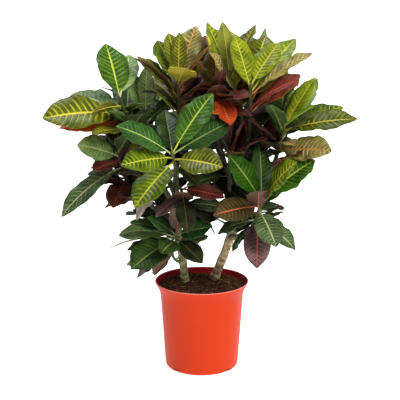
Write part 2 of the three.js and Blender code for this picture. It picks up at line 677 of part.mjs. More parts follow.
function place(name, solid, color, roughness) {
  const material = new THREE.MeshStandardMaterial({ color, roughness, metalness: 0 });
  const mesh = new THREE.Mesh(geometryOf(solid), material);
  mesh.name = name;
  part.add(mesh);
}

place("pot", pot, POT_RED, 0.38);
place("soil", soil, SOIL_BROWN, 0.95);
place("left_stem", leftStem, BARK_GREEN, 0.7);
place("right_stem", rightStem, BARK_TAN, 0.7);
for (const shoot of shoots) {
  const fused = shoot.whole.reduce((sum, one) => sum.add(one), shoot.axisSolid);
  place("shoot_" + shoot.name, largestBody(fused), LEAF_GREEN, 0.4);
}

export default part;
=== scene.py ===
"""Looks of a potted croton: waved and veined leaves, barked stems, crumbly soil and a flared pot."""

import logging
import math
from collections.abc import Callable
from dataclasses import dataclass, field
from enum import Enum, IntEnum

import bmesh
import bpy
import numpy as np
from mathutils import Matrix, Vector, kdtree, noise


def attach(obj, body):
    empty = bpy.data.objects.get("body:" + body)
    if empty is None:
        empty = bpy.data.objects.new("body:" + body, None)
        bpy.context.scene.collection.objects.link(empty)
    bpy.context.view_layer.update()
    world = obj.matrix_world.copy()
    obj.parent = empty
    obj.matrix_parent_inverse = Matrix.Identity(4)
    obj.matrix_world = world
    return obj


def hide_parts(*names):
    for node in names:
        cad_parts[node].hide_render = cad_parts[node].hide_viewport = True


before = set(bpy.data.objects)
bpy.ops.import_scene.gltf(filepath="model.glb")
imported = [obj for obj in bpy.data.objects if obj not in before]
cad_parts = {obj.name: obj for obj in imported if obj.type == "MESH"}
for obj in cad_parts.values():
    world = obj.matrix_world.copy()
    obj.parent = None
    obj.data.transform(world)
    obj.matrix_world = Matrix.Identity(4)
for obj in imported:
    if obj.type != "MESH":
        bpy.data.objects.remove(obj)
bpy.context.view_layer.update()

LOG = logging.getLogger("croton")
MM = 0.001
BODY = "root"

# Repeatable draws: what a number and a purpose each add to an angle, and how far its sine is stretched.
# Blender's noise is seeded too, because its vectors would otherwise change with the time of day
DRAW_STEPS = (12.9898, 78.233)
DRAW_WIDTH = 43758.5453
NOISE_SEED = 7

# Camera: the photograph's view, in metres, and the middle of the plant that the lights face
CAMERA_PLACE = (-0.004, -2.864, 1.092)
CAMERA_PITCH = math.radians(13.87)
CAMERA_LENS = 119.8
SENSOR_WIDTH = 36.0
LIT_PLACE = (0, 0, 0.4)

# Leaf form, as in the part's source, in millimetres where it is a length
PETIOLE_SHARE = 0.14
FOLD = math.radians(11)
WAVE_COUNT = 2.3
WAVE_RATIO = 0.13
TWIST_SPAN = math.radians(24)
OUTLINE_SHIFT = 1.05
OUTLINE_POWER = 0.62
TIP_HALF_WIDTH = 0.9
BLADE_THICKNESS = 1.1
FIT_GAP = 0.35
SHOOT_BOW = 0.45
SHOOT_TAPER = 0.72
BEND_ANGLES = (4, 8, 12, 18, 26, 36)
BEND_SCALES = (1, 0.9, 0.8, 0.7, 0.6)
BEND_WAYS = 8
SHORTENING_COST = 1.4
WAY_COST = 0.01
TIP_MATCH = 0.02

# Rising spirals at the back: first and last value of what changes along a shoot, angles in degrees
SPIRAL_TURN = 137.5
SPIRAL_STATIONS = (0.3, 1)
SPIRAL_RISE = (-28, 64)
SPIRAL_REACH = (1, 0.82)
SPIRAL_ARCH = (34, 16)
SPIRAL_RATIO = 0.47

# Small inner leaves, which are drawn evenly between two values, angles in degrees and reach in millimetres
INNER_FIRST_NUMBER = 1000
FILLER_FIRST_TURN = 180
FILLER_SPACING = 50
FILLER_STATIONS = (-0.85, 0.8)
FILLER_RISE = (-5, 45)
FILLER_REACH = (85, 120)
FILLER_ARCH = (14, 30)
FILLER_ROLL = (-28, 28)
FILLER_RATIO = (0.42, 0.53)

# Leaf detail: heights are shares of half the blade's width, and depths and radii are in millimetres
VEIN_PAIRS = 12
ROWS_PER_VEIN = 4
VEIN_SWEEP = 0.15
BLADE_COLUMNS = (0.0, 0.06, 0.17, 0.32, 0.47, 0.62, 0.77, 0.9, 1.0)
INNER_COLUMNS = (0.0, 0.12, 0.4, 0.7, 1.0)
INNER_ROWS_PER_VEIN = 2
INNER_RIB_ROWS = 10
BLADE_DEPTHS = (0.9, 0.5)
POINT_START = 0.8
POINT_NARROWING = 0.3
WAVE_SOFTNESS = 0.6
RUFFLE_COUNT = 5.3
RUFFLE_HEIGHT = 0.035
QUILT_HEIGHT = 0.022
MARGIN_ROLL = 0.05
RIB_SIDES = 8
RIB_ROWS = 24
RIB_FOOT = 10
RIB_END = 0.985
STALK_RADIUS = 1.95
STALK_FLARE = 0.5
VEIN_RADIUS = 1.5
VEIN_TAPER = 1.15
VEIN_SINK = 0.35
USUAL_REACH = 150

# Painted shade that darkens the middle of the crown, in metres, and the share of colour that is left there
CROWN_MIDDLE = (0.0, 0.02, 0.47)
CROWN_HALF = (0.33, 0.25, 0.31)
CROWN_EDGES = (0.3, 0.82)
CROWN_SHADE = 0.36
OPEN_AIR = (0.36, 0.27)

# Pot and soil, in millimetres and degrees
POT_HEIGHT = 200.0
RIM_RADIUS = 105.0
WALL = 2.0
FOOT_RADIUS = 82.0
NECK_RADIUS = 93.0
NECK_HEIGHT = 168.0
FLOOR = 3.0
NOTCH_SIZE = (16.0, 20.0, 17.0)
NOTCH_TURNS = (45, 135, 225, 315)
NOTCH_ROUND = 1.6
SOIL_LEVEL = 190.0
SOIL_RADIUS = 96.3
SOIL_RELIEF = 3.5
SOIL_SHOULDER = 84.0

Rgb = tuple[float, float, float]
Point = tuple[float, float, float]
Outline = list[tuple[float, float]]
Socket = bpy.types.NodeSocket
Value = Socket | float | tuple[float, ...]


class Purpose(IntEnum):
    """What a repeatable number is drawn for, so that the draws for one leaf or item differ."""

    TWIST = 1
    LEFT_WAVE = 2
    RIGHT_WAVE = 3
    VEIN_STRENGTH = 4
    VEIN_SPREAD = 5
    TONE = 6
    HUE = 7
    RISE = 8
    REACH = 9
    ARCH = 10
    SCAR_LEVEL = 11
    SCAR_TURN = 12
    ROLL = 13
    RATIO = 14
    CRUMB_PLACE = 21
    CRUMB_SIZE = 23
    CRUMB_WIDTH = 24
    CHIP_PLACE = 25
    CHIP_SIZE = 27
    FIBRE_PLACE = 28
    FIBRE_TURN = 30
    LUMP_TURN = 31
    LUMP_TILT = 32
    FIBRE_LENGTH = 33
    FIBRE_BOW = 34


def draw(number: int, purpose: int) -> float:
    """A repeatable draw from 0 up to 1, the same on every run, for a numbered item and a purpose."""
    wide = math.sin(number * DRAW_STEPS[0] + purpose * DRAW_STEPS[1]) * DRAW_WIDTH
    return wide - math.floor(wide)


def linear(colour: Rgb) -> tuple[float, float, float, float]:
    """Turns a display colour into the one that shaders take.

    Args:
        colour: Display values from 0 to 255.

    Returns:
        The linear colour, from 0 to 1, with a full alpha.
    """
    parts = [c / 255 for c in colour]
    red, green, blue = (c / 12.92 if c <= 0.04045 else ((c + 0.055) / 1.055) ** 2.4 for c in parts)
    return red, green, blue, 1.0


def smooth_step(low: float, high: float, value: np.ndarray) -> np.ndarray:
    """A smooth rise from 0 at low to 1 at high."""
    share = np.clip((value - low) / (high - low), 0, 1)
    return share * share * (3 - 2 * share)


def lerp(start: float, end: float, share: float) -> float:
    """A value between two others."""
    return start + (end - start) * share


def bell(distance: np.ndarray, width: float) -> np.ndarray:
    """A smooth hump that is 1 at distance 0 and almost nothing beyond twice the width."""
    return np.exp(-((distance / width) ** 2))


def heading(turn: float, rise: float) -> Vector:
    """The direction at this turn about Z and this rise above the level, both in degrees."""
    turn, rise = math.radians(turn), math.radians(rise)
    return Vector((math.cos(rise) * math.cos(turn), math.cos(rise) * math.sin(turn), math.sin(rise)))


class Tint(Enum):
    """The leaf colours of the plant, from young and yellow to old and dark."""

    LIME = "lime"
    FRESH = "fresh_green"
    YELLOW = "yellow"
    GOLD = "gold_olive"
    OLIVE = "olive"
    EMBER = "olive_orange_rib"
    BRONZE = "bronze"
    RUST = "rust"
    RED = "veined_red"
    ROSE = "dull_rose"
    VEINED = "green_veined"
    BRIGHT = "green_yellow_veined"
    GRASS = "grass_green"
    PALE = "green_ashen_veined"
    PLAIN = "green_pale_rib"
    MOSS = "grey_green"
    DEEP = "deep_green"
    DARK = "blackish_green"
    MAROON = "maroon"
    PLUM = "plum"
    ASH = "ash_pink"


@dataclass(frozen=True)
class LeafFinish:
    """The colours of one kind of leaf.

    blade and patch are the two mixed tones of the surface, vein and rib the colours of the side veins and
    the midrib, under the tone of the lower face. strength is how clear the side veins are, and spread how
    far their colour runs into the blade.
    """

    blade: Rgb
    patch: Rgb
    vein: Rgb
    rib: Rgb
    under: Rgb
    strength: float = 0.7
    spread: float = 0.3


LEAF_FINISHES: dict[Tint, LeafFinish] = {
    Tint.LIME: LeafFinish((62, 86, 8), (118, 132, 18), (186, 192, 48), (214, 208, 84), (138, 146, 42),
                          strength=0.7, spread=0.42),
    Tint.FRESH: LeafFinish((80, 134, 14), (110, 158, 26), (150, 184, 50), (190, 202, 80), (128, 156, 56),
                           strength=0.6, spread=0.34),
    Tint.YELLOW: LeafFinish((150, 140, 22), (184, 172, 42), (206, 194, 70), (204, 164, 56), (176, 160, 52),
                            strength=0.45, spread=0.4),
    Tint.GOLD: LeafFinish((66, 64, 24), (132, 124, 58), (240, 218, 142), (232, 138, 72), (160, 116, 60),
                          strength=0.85, spread=0.26),
    Tint.OLIVE: LeafFinish((34, 48, 5), (76, 84, 14), (182, 176, 46), (214, 194, 58), (120, 112, 38),
                           strength=0.85, spread=0.26),
    Tint.EMBER: LeafFinish((46, 44, 12), (90, 78, 26), (190, 126, 56), (224, 116, 52), (128, 80, 40),
                           strength=0.65, spread=0.2),
    Tint.BRONZE: LeafFinish((26, 36, 14), (56, 56, 27), (150, 98, 52), (228, 124, 82), (110, 72, 48),
                            strength=0.65, spread=0.2),
    Tint.RUST: LeafFinish((132, 42, 12), (172, 70, 26), (206, 104, 50), (228, 130, 72), (150, 70, 36),
                          strength=0.5, spread=0.4),
    Tint.RED: LeafFinish((48, 18, 10), (88, 36, 22), (234, 104, 82), (246, 92, 84), (142, 60, 42),
                         strength=0.95, spread=0.24),
    Tint.ROSE: LeafFinish((78, 34, 18), (118, 56, 32), (166, 88, 58), (196, 108, 74), (136, 78, 56),
                          strength=0.5, spread=0.32),
    Tint.VEINED: LeafFinish((18, 54, 8), (44, 82, 18), (140, 180, 56), (204, 218, 84), (92, 116, 48),
                            strength=0.75, spread=0.18),
    Tint.BRIGHT: LeafFinish((22, 54, 4), (82, 104, 8), (182, 188, 50), (222, 216, 72), (120, 128, 38),
                            strength=0.75, spread=0.32),
    Tint.GRASS: LeafFinish((18, 52, 4), (42, 78, 8), (104, 140, 34), (186, 202, 84), (78, 102, 34),
                           strength=0.6, spread=0.2),
    Tint.PALE: LeafFinish((28, 50, 22), (64, 88, 48), (160, 164, 118), (200, 206, 150), (112, 116, 84),
                          strength=0.8, spread=0.18),
    Tint.PLAIN: LeafFinish((20, 54, 16), (44, 80, 32), (104, 146, 70), (190, 212, 116), (88, 112, 58),
                           strength=0.5, spread=0.16),
    Tint.MOSS: LeafFinish((70, 102, 50), (120, 146, 82), (176, 196, 122), (214, 226, 156), (136, 150, 100),
                          strength=0.6, spread=0.26),
    Tint.DEEP: LeafFinish((13, 34, 8), (40, 62, 20), (96, 122, 54), (154, 170, 82), (70, 84, 46),
                          strength=0.6, spread=0.17),
    Tint.DARK: LeafFinish((14, 18, 8), (42, 43, 23), (70, 72, 38), (104, 100, 56), (56, 52, 34),
                          strength=0.5, spread=0.16),
    Tint.MAROON: LeafFinish((34, 14, 10), (78, 37, 28), (156, 70, 58), (198, 68, 58), (94, 64, 50),
                            strength=0.6, spread=0.2),
    Tint.PLUM: LeafFinish((56, 40, 42), (108, 84, 84), (160, 114, 108), (214, 104, 90), (116, 92, 80),
                          strength=0.55, spread=0.22),
    Tint.ASH: LeafFinish((122, 108, 94), (154, 142, 128), (176, 156, 140), (186, 146, 124), (154, 142, 128),
                         strength=0.35, spread=0.24),
}


@dataclass(frozen=True)
class LeafRow:
    """One leaf: its place on the shoot, its tip, and how it bends and turns.

    station runs from 0 at the shoot's foot to 1 at its crown, and from -1 to 0 along the branch that the
    shoot grows on. tip is in millimetres. arch is how far the midrib bends and roll how far the upper face
    leans over, in degrees. ratio is width to length.
    """

    station: float
    tip: Point
    arch: float
    roll: float
    ratio: float
    tint: Tint


# The short name that the rows below use
leaf = LeafRow


@dataclass(frozen=True)
class Shoot:
    """A leafy shoot: it grows on from the branch of the same name and ends at its crown."""

    name: str
    crown: Point
    leaves: tuple[LeafRow, ...]


@dataclass(frozen=True)
class Spiral:
    """A shoot at the back whose leaves stand in a rising spiral.

    first is the first leaf's turn in degrees, reach the first leaf's length in millimetres, and tints go
    from the foot to the crown.
    """

    name: str
    crown: Point
    first: float
    reach: float
    tints: tuple[Tint, ...]


@dataclass(frozen=True)
class Branch:
    """A branch: its radius at both ends and the four points of its curve, in millimetres."""

    name: str
    radii: tuple[float, float]
    points: tuple[Point, Point, Point, Point]


@dataclass(frozen=True)
class Pattern:
    """Cloudy noise turned into a share.

    The share rises from least, where the noise is at low or below, to most, where it is at high or above.
    scale is counted per metre on the object.
    """

    scale: float
    detail: float = 3.0
    rough: float = 0.5
    low: float = 0.3
    high: float = 0.7
    least: float = 0.0
    most: float = 1.0


@dataclass(frozen=True)
class BarkFinish:
    """The look of a stem: bark and patch are mixed, scar marks the old leaf scars, young the thin ends, whose
    green is made darker as painted shade of the crown's inside.
    """

    bark: Rgb
    patch: Rgb
    crease: Rgb
    scar: Rgb
    young: Rgb
    clouds: Pattern = Pattern(70, 5, 0.65, 0.42, 0.6)
    flecks: Pattern = Pattern(210, 4, 0.7, 0.55, 0.68, most=0.75)
    strand_stretch: Point = (700, 700, 110)

    def material(self, name: str) -> bpy.types.Material:
        """Bark with creases along it, pale leaf scars and greener young wood, darkened towards black by
        painted shade inside the crown except low down.

        Args:
            name: The material's name.

        Returns:
            The material.
        """
        made = Shader(name)
        colour = made.mix(made.pattern(self.clouds), linear(self.bark), linear(self.patch))
        strand = made.noise(1.0, 4, 0.6, made.stretched(self.strand_stretch))
        colour = made.mix(made.rise(strand, 0.5, 0.36, 0, 0.75), colour, linear(self.crease))
        for share, paint in (
            (made.pattern(self.flecks), self.scar),
            (made.attribute("scar"), self.scar),
            (made.attribute("young"), self.young),
        ):
            colour = made.mix(share, colour, linear(paint))
        # Painted shade: inside the crown the bark is mixed towards black, less so below 0.36 m and not at all
        # below 0.27 m
        light = made.math("MAXIMUM", made.painted_crown_shade(), made.rise(made.height(), *OPEN_AIR))
        colour = made.mix(made.math("SUBTRACT", 1.0, light), colour, (0.0, 0.0, 0.0, 1.0))
        normal = made.bump(strand, 0.6, 0.0012)
        normal = made.bump(made.noise(900, 3), 0.3, 0.0005, normal)
        return made.done(colour, made.rise(strand, 0.3, 0.7, 0.85, 0.55), normal, Specular_IOR_Level=0.3)


@dataclass(frozen=True)
class Trunk:
    """A main stem: points along it, its radius at both ends, its branches and its bark."""

    name: str
    radii: tuple[float, float]
    points: tuple[Point, ...]
    branches: tuple[Branch, ...]
    finish: BarkFinish


LEFT_TRUNK = Trunk(
    "left_stem",
    (9.8, 7),
    ((-37, 20, 140), (-37, 20, 165), (-37, 20, 190), (-40, 17, 215),
     (-43, 14, 240), (-50, 9, 300), (-56, 2, 360), (-57, 3, 400)),
    (
        Branch("low_left", (3.4, 3), ((-43, 14, 236), (-62, -2, 242), (-70, -22, 266), (-62, -42, 284))),
        Branch("front_low", (5, 4.2), ((-53, 5, 330), (-56, -20, 345), (-46, -48, 368), (-42, -62, 386))),
        Branch("front_left", (5.5, 4.6), ((-55, 3, 345), (-66, -30, 370), (-60, -72, 420), (-57, -92, 454))),
        Branch("top_left", (6.5, 4.8), ((-57, 3, 390), (-58, 3, 440), (-50, 10, 510), (-50, 14, 558))),
        Branch("upper_left", (5.8, 4.6), ((-56, 2, 360), (-80, 0, 410), (-130, 3, 480), (-150, 5, 532))),
        Branch("left_mid", (5, 4.2), ((-52, 7, 322), (-85, 12, 355), (-150, 10, 385), (-164, 5, 424))),
        Branch("left_inner", (4.6, 4), ((-57, 3, 395), (-62, 14, 420), (-100, 36, 455), (-110, 32, 490))),
        Branch("back_left", (5, 4.4), ((-56, 3, 378), (-62, 50, 400), (-100, 110, 440), (-108, 128, 486))),
        Branch("back_low_left", (4.4, 4), ((-48, 10, 288), (-60, 40, 296), (-90, 90, 305), (-100, 108, 332))),
        Branch("back_low_mid", (4.6, 4), ((-54, 5, 345), (-46, 40, 362), (-22, 88, 384), (-16, 104, 420))),
    ),
    BarkFinish((168, 158, 112), (88, 108, 52), (84, 76, 48), (222, 212, 176), (84, 92, 48)),
)

RIGHT_TRUNK = Trunk(
    "right_stem",
    (11.3, 8),
    ((27, 30, 140), (27, 30, 165), (28, 30, 190), (38, 25, 220),
     (52, 17, 260), (62, 11, 290), (68, 5, 340), (75, 2, 400)),
    (
        Branch("lower_right", (6.5, 5), ((62, 9, 296), (76, -22, 304), (106, -58, 318), (113, -76, 346))),
        Branch("centre", (5, 4.4), ((71, 3, 366), (64, -10, 384), (60, -26, 396), (60, -34, 426))),
        Branch("top_mid", (5, 4.4), ((74, 2, 396), (62, -4, 440), (36, -2, 500), (34, -8, 556))),
        Branch("top", (7, 5), ((75, 2, 392), (78, 1, 440), (86, 2, 520), (86, 2, 574))),
        Branch("top_right", (5.6, 4.6), ((76, 1, 420), (88, -14, 450), (102, -28, 520), (104, -34, 578))),
        Branch("right", (6, 4.8), ((74, 2, 392), (96, 0, 412), (150, -8, 436), (162, -10, 480))),
        Branch("back_top", (5.4, 4.4), ((75, 2, 396), (66, 40, 430), (24, 116, 490), (16, 134, 540))),
        Branch("back_right", (5.4, 4.4), ((75, 3, 398), (92, 34, 424), (144, 104, 450), (152, 122, 494))),
        Branch("back_low_right", (4.6, 4), ((65, 7, 316), (70, 34, 322), (94, 84, 334), (100, 100, 364))),
    ),
    BarkFinish((190, 170, 126), (116, 96, 66), (92, 74, 50), (228, 214, 178), (92, 88, 52)),
)

SHOOTS: tuple[Shoot, ...] = (
    Shoot("front_left", (-62, -148, 520), (
        leaf(1, (23, -100, 639), 18, 25, 0.46, Tint.VEINED),
        leaf(0.95, (-175, -190, 587), 28, -45, 0.44, Tint.PLAIN),
        leaf(0.85, (-164, -222, 512), 22, -45, 0.46, Tint.BRIGHT),
        leaf(0.7, (-138, -218, 422), 20, -15, 0.5, Tint.BRIGHT),
        leaf(0.78, (42, -218, 508), 24, 45, 0.5, Tint.OLIVE),
        leaf(0.98, (60, -90, 577), 16, 40, 0.4, Tint.PLAIN),
        leaf(0.3, (-140, -118, 370), 30, -10, 0.5, Tint.ASH),
        leaf(0.5, (-4, -150, 452), 26, 20, 0.42, Tint.DARK),
        leaf(0.92, (-80, -38, 594), 12, 0, 0.44, Tint.DEEP),
    )),
    Shoot("lower_right", (128, -108, 410), (
        leaf(0.97, (56, -118, 512), 20, -60, 0.46, Tint.GRASS),
        leaf(0.9, (196, -172, 508), 20, 48, 0.54, Tint.BRIGHT),
        leaf(0.95, (241, -92, 495), 24, 28, 0.56, Tint.VEINED),
        leaf(0.8, (24, -172, 394), 26, -42, 0.5, Tint.BRONZE),
        leaf(0.65, (155, -194, 332), 32, 10, 0.54, Tint.PALE),
        leaf(0.4, (199, -130, 307), 28, 20, 0.46, Tint.PALE),
        leaf(0.5, (116, -170, 278), 30, 0, 0.48, Tint.PLUM),
        leaf(0.6, (175, -14, 375), 20, 16, 0.5, Tint.DEEP),
        leaf(0.3, (34, -62, 324), 24, -20, 0.58, Tint.PALE),
        leaf(0.15, (66, -78, 288), 20, -20, 0.4, Tint.DEEP),
        leaf(0.85, (122, -48, 526), 14, 40, 0.44, Tint.DEEP),
        leaf(0.75, (84, -40, 440), 16, 0, 0.54, Tint.PLAIN),
        leaf(0.7, (184, 24, 450), 26, 0, 0.48, Tint.GRASS),
    )),
    Shoot("upper_left", (-178, -12, 614), (
        leaf(0.95, (-212, 70, 722), 14, 0, 0.52, Tint.VEINED),
        leaf(1, (-160, 82, 696), 10, 5, 0.48, Tint.MOSS),
        leaf(0.6, (-340, -64, 580), 24, -38, 0.5, Tint.OLIVE),
        leaf(0.45, (-290, 58, 610), 42, -22, 0.48, Tint.MOSS),
        leaf(0.8, (-236, -70, 584), 30, 50, 0.36, Tint.OLIVE),
        leaf(0.2, (-309, -32, 552), 16, 36, 0.4, Tint.RUST),
        leaf(0.12, (-240, -66, 548), 20, -12, 0.44, Tint.OLIVE),
        leaf(0.7, (-250, 118, 584), 24, 0, 0.46, Tint.PLAIN),
        leaf(0.5, (-165, 140, 628), 26, 0, 0.48, Tint.PLAIN),
        leaf(0.4, (-104, -44, 592), 20, 20, 0.5, Tint.DEEP),
        leaf(0.15, (-128, -74, 612), 14, 0, 0.5, Tint.DEEP),
        leaf(0.2, (-192, -72, 594), 12, 0, 0.46, Tint.PLAIN),
    )),
    Shoot("top_left", (-52, 20, 645), (
        leaf(0.9, (-98, 85, 728), 14, 5, 0.58, Tint.BRIGHT),
        leaf(0.6, (-142, 30, 700), 24, -14, 0.44, Tint.OLIVE),
        leaf(0.95, (-36, -84, 690), 12, -14, 0.54, Tint.YELLOW),
        leaf(1, (-74, 68, 746), 34, 0, 0.4, Tint.OLIVE),
        leaf(1, (-27, 52, 746), 12, 10, 0.32, Tint.OLIVE),
        leaf(0.9, (-30, 118, 746), 16, 0, 0.46, Tint.GOLD),
        leaf(0.6, (8, 108, 736), 18, 0, 0.42, Tint.EMBER),
        leaf(0.85, (29, -32, 742), 12, 14, 0.28, Tint.GOLD),
        leaf(0.25, (2, -62, 656), 16, 20, 0.42, Tint.MAROON),
        leaf(0.1, (-112, -14, 638), 18, -10, 0.4, Tint.LIME),
        leaf(0.4, (-125, 112, 640), 30, 0, 0.48, Tint.OLIVE),
        leaf(0.55, (-35, 155, 656), 34, 0, 0.48, Tint.ROSE),
    )),
    Shoot("top_right", (104, -52, 648), (
        leaf(1, (165, -6, 734), 12, 22, 0.52, Tint.LIME),
        leaf(0.85, (62, -12, 748), 12, -20, 0.42, Tint.LIME),
        leaf(0.9, (140, 58, 742), 14, 5, 0.46, Tint.OLIVE),
        leaf(0.7, (104, 84, 750), 12, 0, 0.42, Tint.OLIVE),
        leaf(0.6, (142, 118, 752), 8, 30, 0.11, Tint.MOSS),
        leaf(0.8, (206, 30, 744), 14, 16, 0.36, Tint.LIME),
        leaf(0.7, (224, -92, 732), 22, 26, 0.36, Tint.GOLD),
        leaf(0.3, (194, -150, 674), 18, 36, 0.44, Tint.RED),
        leaf(0.12, (214, 4, 664), 16, 20, 0.46, Tint.ROSE),
        leaf(0.5, (178, 100, 672), 26, 0, 0.48, Tint.EMBER),
    )),
    Shoot("top", (56, 0, 656), (
        leaf(0.9, (44, -14, 780), 10, 40, 0.28, Tint.LIME),
        leaf(1, (74, 110, 758), 8, 0, 0.42, Tint.LIME),
        leaf(0.55, (16, -40, 718), 14, -45, 0.44, Tint.GOLD),
        leaf(0.5, (8, 132, 756), 12, 0, 0.42, Tint.YELLOW),
        leaf(0.7, (114, 118, 736), 20, 0, 0.46, Tint.YELLOW),
        leaf(0.5, (52, 128, 688), 26, 0, 0.48, Tint.EMBER),
    )),
    Shoot("top_mid", (30, -20, 626), (
        leaf(0.9, (-46, -70, 616), 18, 10, 0.44, Tint.DARK),
        leaf(0.6, (20, -112, 600), 16, -30, 0.52, Tint.RUST),
        leaf(0.95, (42, -84, 706), 14, 20, 0.34, Tint.MAROON),
        leaf(0.8, (100, -98, 632), 20, 20, 0.48, Tint.MAROON),
        leaf(0.4, (112, -62, 586), 24, 10, 0.48, Tint.MAROON),
        leaf(1, (-14, 38, 700), 16, 0, 0.44, Tint.EMBER),
        leaf(0.95, (62, 62, 702), 16, 0, 0.46, Tint.EMBER),
        leaf(0.3, (-30, 20, 572), 26, 0, 0.48, Tint.DARK),
    )),
    Shoot("right", (176, -20, 552), (
        leaf(1, (236, -92, 610), 12, 20, 0.5, Tint.FRESH),
        leaf(0.9, (332, -62, 578), 20, 30, 0.4, Tint.OLIVE),
        leaf(0.8, (310, 18, 590), 22, 18, 0.46, Tint.BRIGHT),
        leaf(1, (247, 58, 632), 20, 10, 0.48, Tint.MOSS),
        leaf(0.95, (258, 96, 642), 16, 10, 0.3, Tint.LIME),
        leaf(0.9, (144, -76, 612), 16, -6, 0.5, Tint.PLAIN),
        leaf(0.3, (274, -112, 518), 18, 40, 0.48, Tint.GOLD),
        leaf(0.5, (196, -110, 530), 24, 10, 0.4, Tint.GOLD),
        leaf(0.6, (255, 96, 560), 30, 0, 0.48, Tint.PLAIN),
        leaf(0.2, (240, 60, 470), 34, 10, 0.48, Tint.PLAIN),
        leaf(0.5, (126, -78, 528), 20, -20, 0.5, Tint.DARK),
        leaf(0.3, (150, -72, 498), 16, -10, 0.5, Tint.DEEP),
    )),
    Shoot("low_left", (-56, -72, 326), (
        leaf(0.95, (-116, -112, 374), 18, -46, 0.5, Tint.PLAIN),
        leaf(0.8, (-151, -142, 268), 26, -28, 0.58, Tint.DEEP),
        leaf(0.6, (-164, -60, 286), 26, -10, 0.5, Tint.DEEP),
        leaf(0.5, (-143, -62, 224), 22, -10, 0.38, Tint.PLUM),
        leaf(0.35, (-112, -48, 222), 22, 0, 0.4, Tint.PLUM),
        leaf(0.3, (-169, -16, 238), 24, -10, 0.22, Tint.MOSS),
        leaf(0.75, (-214, -42, 278), 40, 10, 0.15, Tint.PLAIN),
        leaf(0.85, (-184, -14, 308), 50, -30, 0.42, Tint.MOSS),
        leaf(0.95, (20, -108, 352), 18, 50, 0.54, Tint.PLAIN),
        leaf(0.75, (1, -132, 278), 24, 25, 0.48, Tint.DARK),
        leaf(1, (-44, -122, 402), 14, 0, 0.48, Tint.PLUM),
        leaf(0.3, (14, -14, 306), 22, 20, 0.5, Tint.MOSS),
        leaf(1, (-156, -88, 356), 22, -16, 0.5, Tint.PLAIN),
    )),
    Shoot("left_mid", (-183, -8, 492), (
        leaf(0.9, (-270, -40, 517), 22, -46, 0.66, Tint.MOSS),
        leaf(0.75, (-233, -84, 470), 20, -20, 0.46, Tint.MAROON),
        leaf(0.55, (-304, -72, 365), 46, -26, 0.3, Tint.PALE),
        leaf(0.25, (-256, 32, 436), 26, -10, 0.56, Tint.DEEP),
        leaf(0.15, (-192, -76, 386), 22, -10, 0.58, Tint.MAROON),
        leaf(0.8, (-236, 92, 512), 28, 0, 0.48, Tint.PLAIN),
        leaf(0.6, (-106, -76, 452), 24, 10, 0.46, Tint.OLIVE),
        leaf(1, (-150, -74, 552), 14, 0, 0.5, Tint.DEEP),
        leaf(0.2, (-150, -62, 466), 14, 10, 0.46, Tint.MAROON),
    )),
    Shoot("left_inner", (-124, 25, 566), (
        leaf(0.95, (-140, 72, 664), 14, 0, 0.5, Tint.MOSS),
        leaf(0.85, (-54, 18, 610), 14, 25, 0.48, Tint.VEINED),
        leaf(0.6, (-112, 130, 590), 34, 0, 0.48, Tint.DEEP),
        leaf(0.4, (-66, 96, 540), 30, 0, 0.48, Tint.DARK),
        leaf(0.3, (-168, -62, 516), 24, -20, 0.52, Tint.OLIVE),
        leaf(0.1, (-138, -72, 460), 24, -10, 0.48, Tint.DEEP),
        leaf(1, (-120, 40, 680), 12, 0, 0.34, Tint.MOSS),
    )),
    Shoot("front_low", (-46, -108, 438), (
        leaf(0.95, (47, -148, 426), 18, 28, 0.46, Tint.MAROON),
        leaf(0.5, (28, -46, 318), 24, 20, 0.5, Tint.DEEP),
        leaf(0.9, (42, -66, 456), 20, 20, 0.46, Tint.DEEP),
        leaf(0.6, (-98, -122, 378), 22, -20, 0.46, Tint.PLUM),
        leaf(0.75, (-30, -158, 352), 26, 0, 0.46, Tint.DARK),
        leaf(0.3, (14, -100, 352), 24, 0, 0.54, Tint.DARK),
        leaf(0.15, (44, -86, 384), 20, 30, 0.5, Tint.PALE),
    )),
    Shoot("centre", (60, -44, 500), (
        leaf(0.9, (142, -92, 534), 22, 10, 0.5, Tint.MAROON),
        leaf(0.8, (78, -132, 506), 18, 0, 0.46, Tint.EMBER),
        leaf(0.85, (-18, -62, 548), 22, -10, 0.48, Tint.DARK),
        leaf(1, (8, 24, 586), 18, 0, 0.48, Tint.DEEP),
        leaf(0.95, (66, -66, 618), 14, 20, 0.46, Tint.MAROON),
        leaf(0.6, (128, 30, 520), 30, 0, 0.48, Tint.MAROON),
        leaf(0.3, (-16, -14, 436), 26, 0, 0.48, Tint.DARK),
        leaf(0.5, (124, -62, 446), 26, 0, 0.46, Tint.MAROON),
        leaf(0.7, (116, -62, 588), 16, 10, 0.46, Tint.MAROON),
    )),
    Shoot("back_low_mid", (-14, 112, 482), (
        leaf(0.9, (-84, 62, 560), 20, 0, 0.5, Tint.DEEP),
        leaf(1, (14, 84, 590), 18, 0, 0.5, Tint.DEEP),
        leaf(0.7, (92, 76, 510), 26, 10, 0.5, Tint.DARK),
        leaf(0.5, (-96, 40, 452), 26, -10, 0.5, Tint.DARK),
        leaf(0.6, (10, 232, 470), 32, 0, 0.48, Tint.DEEP),
    )),
)

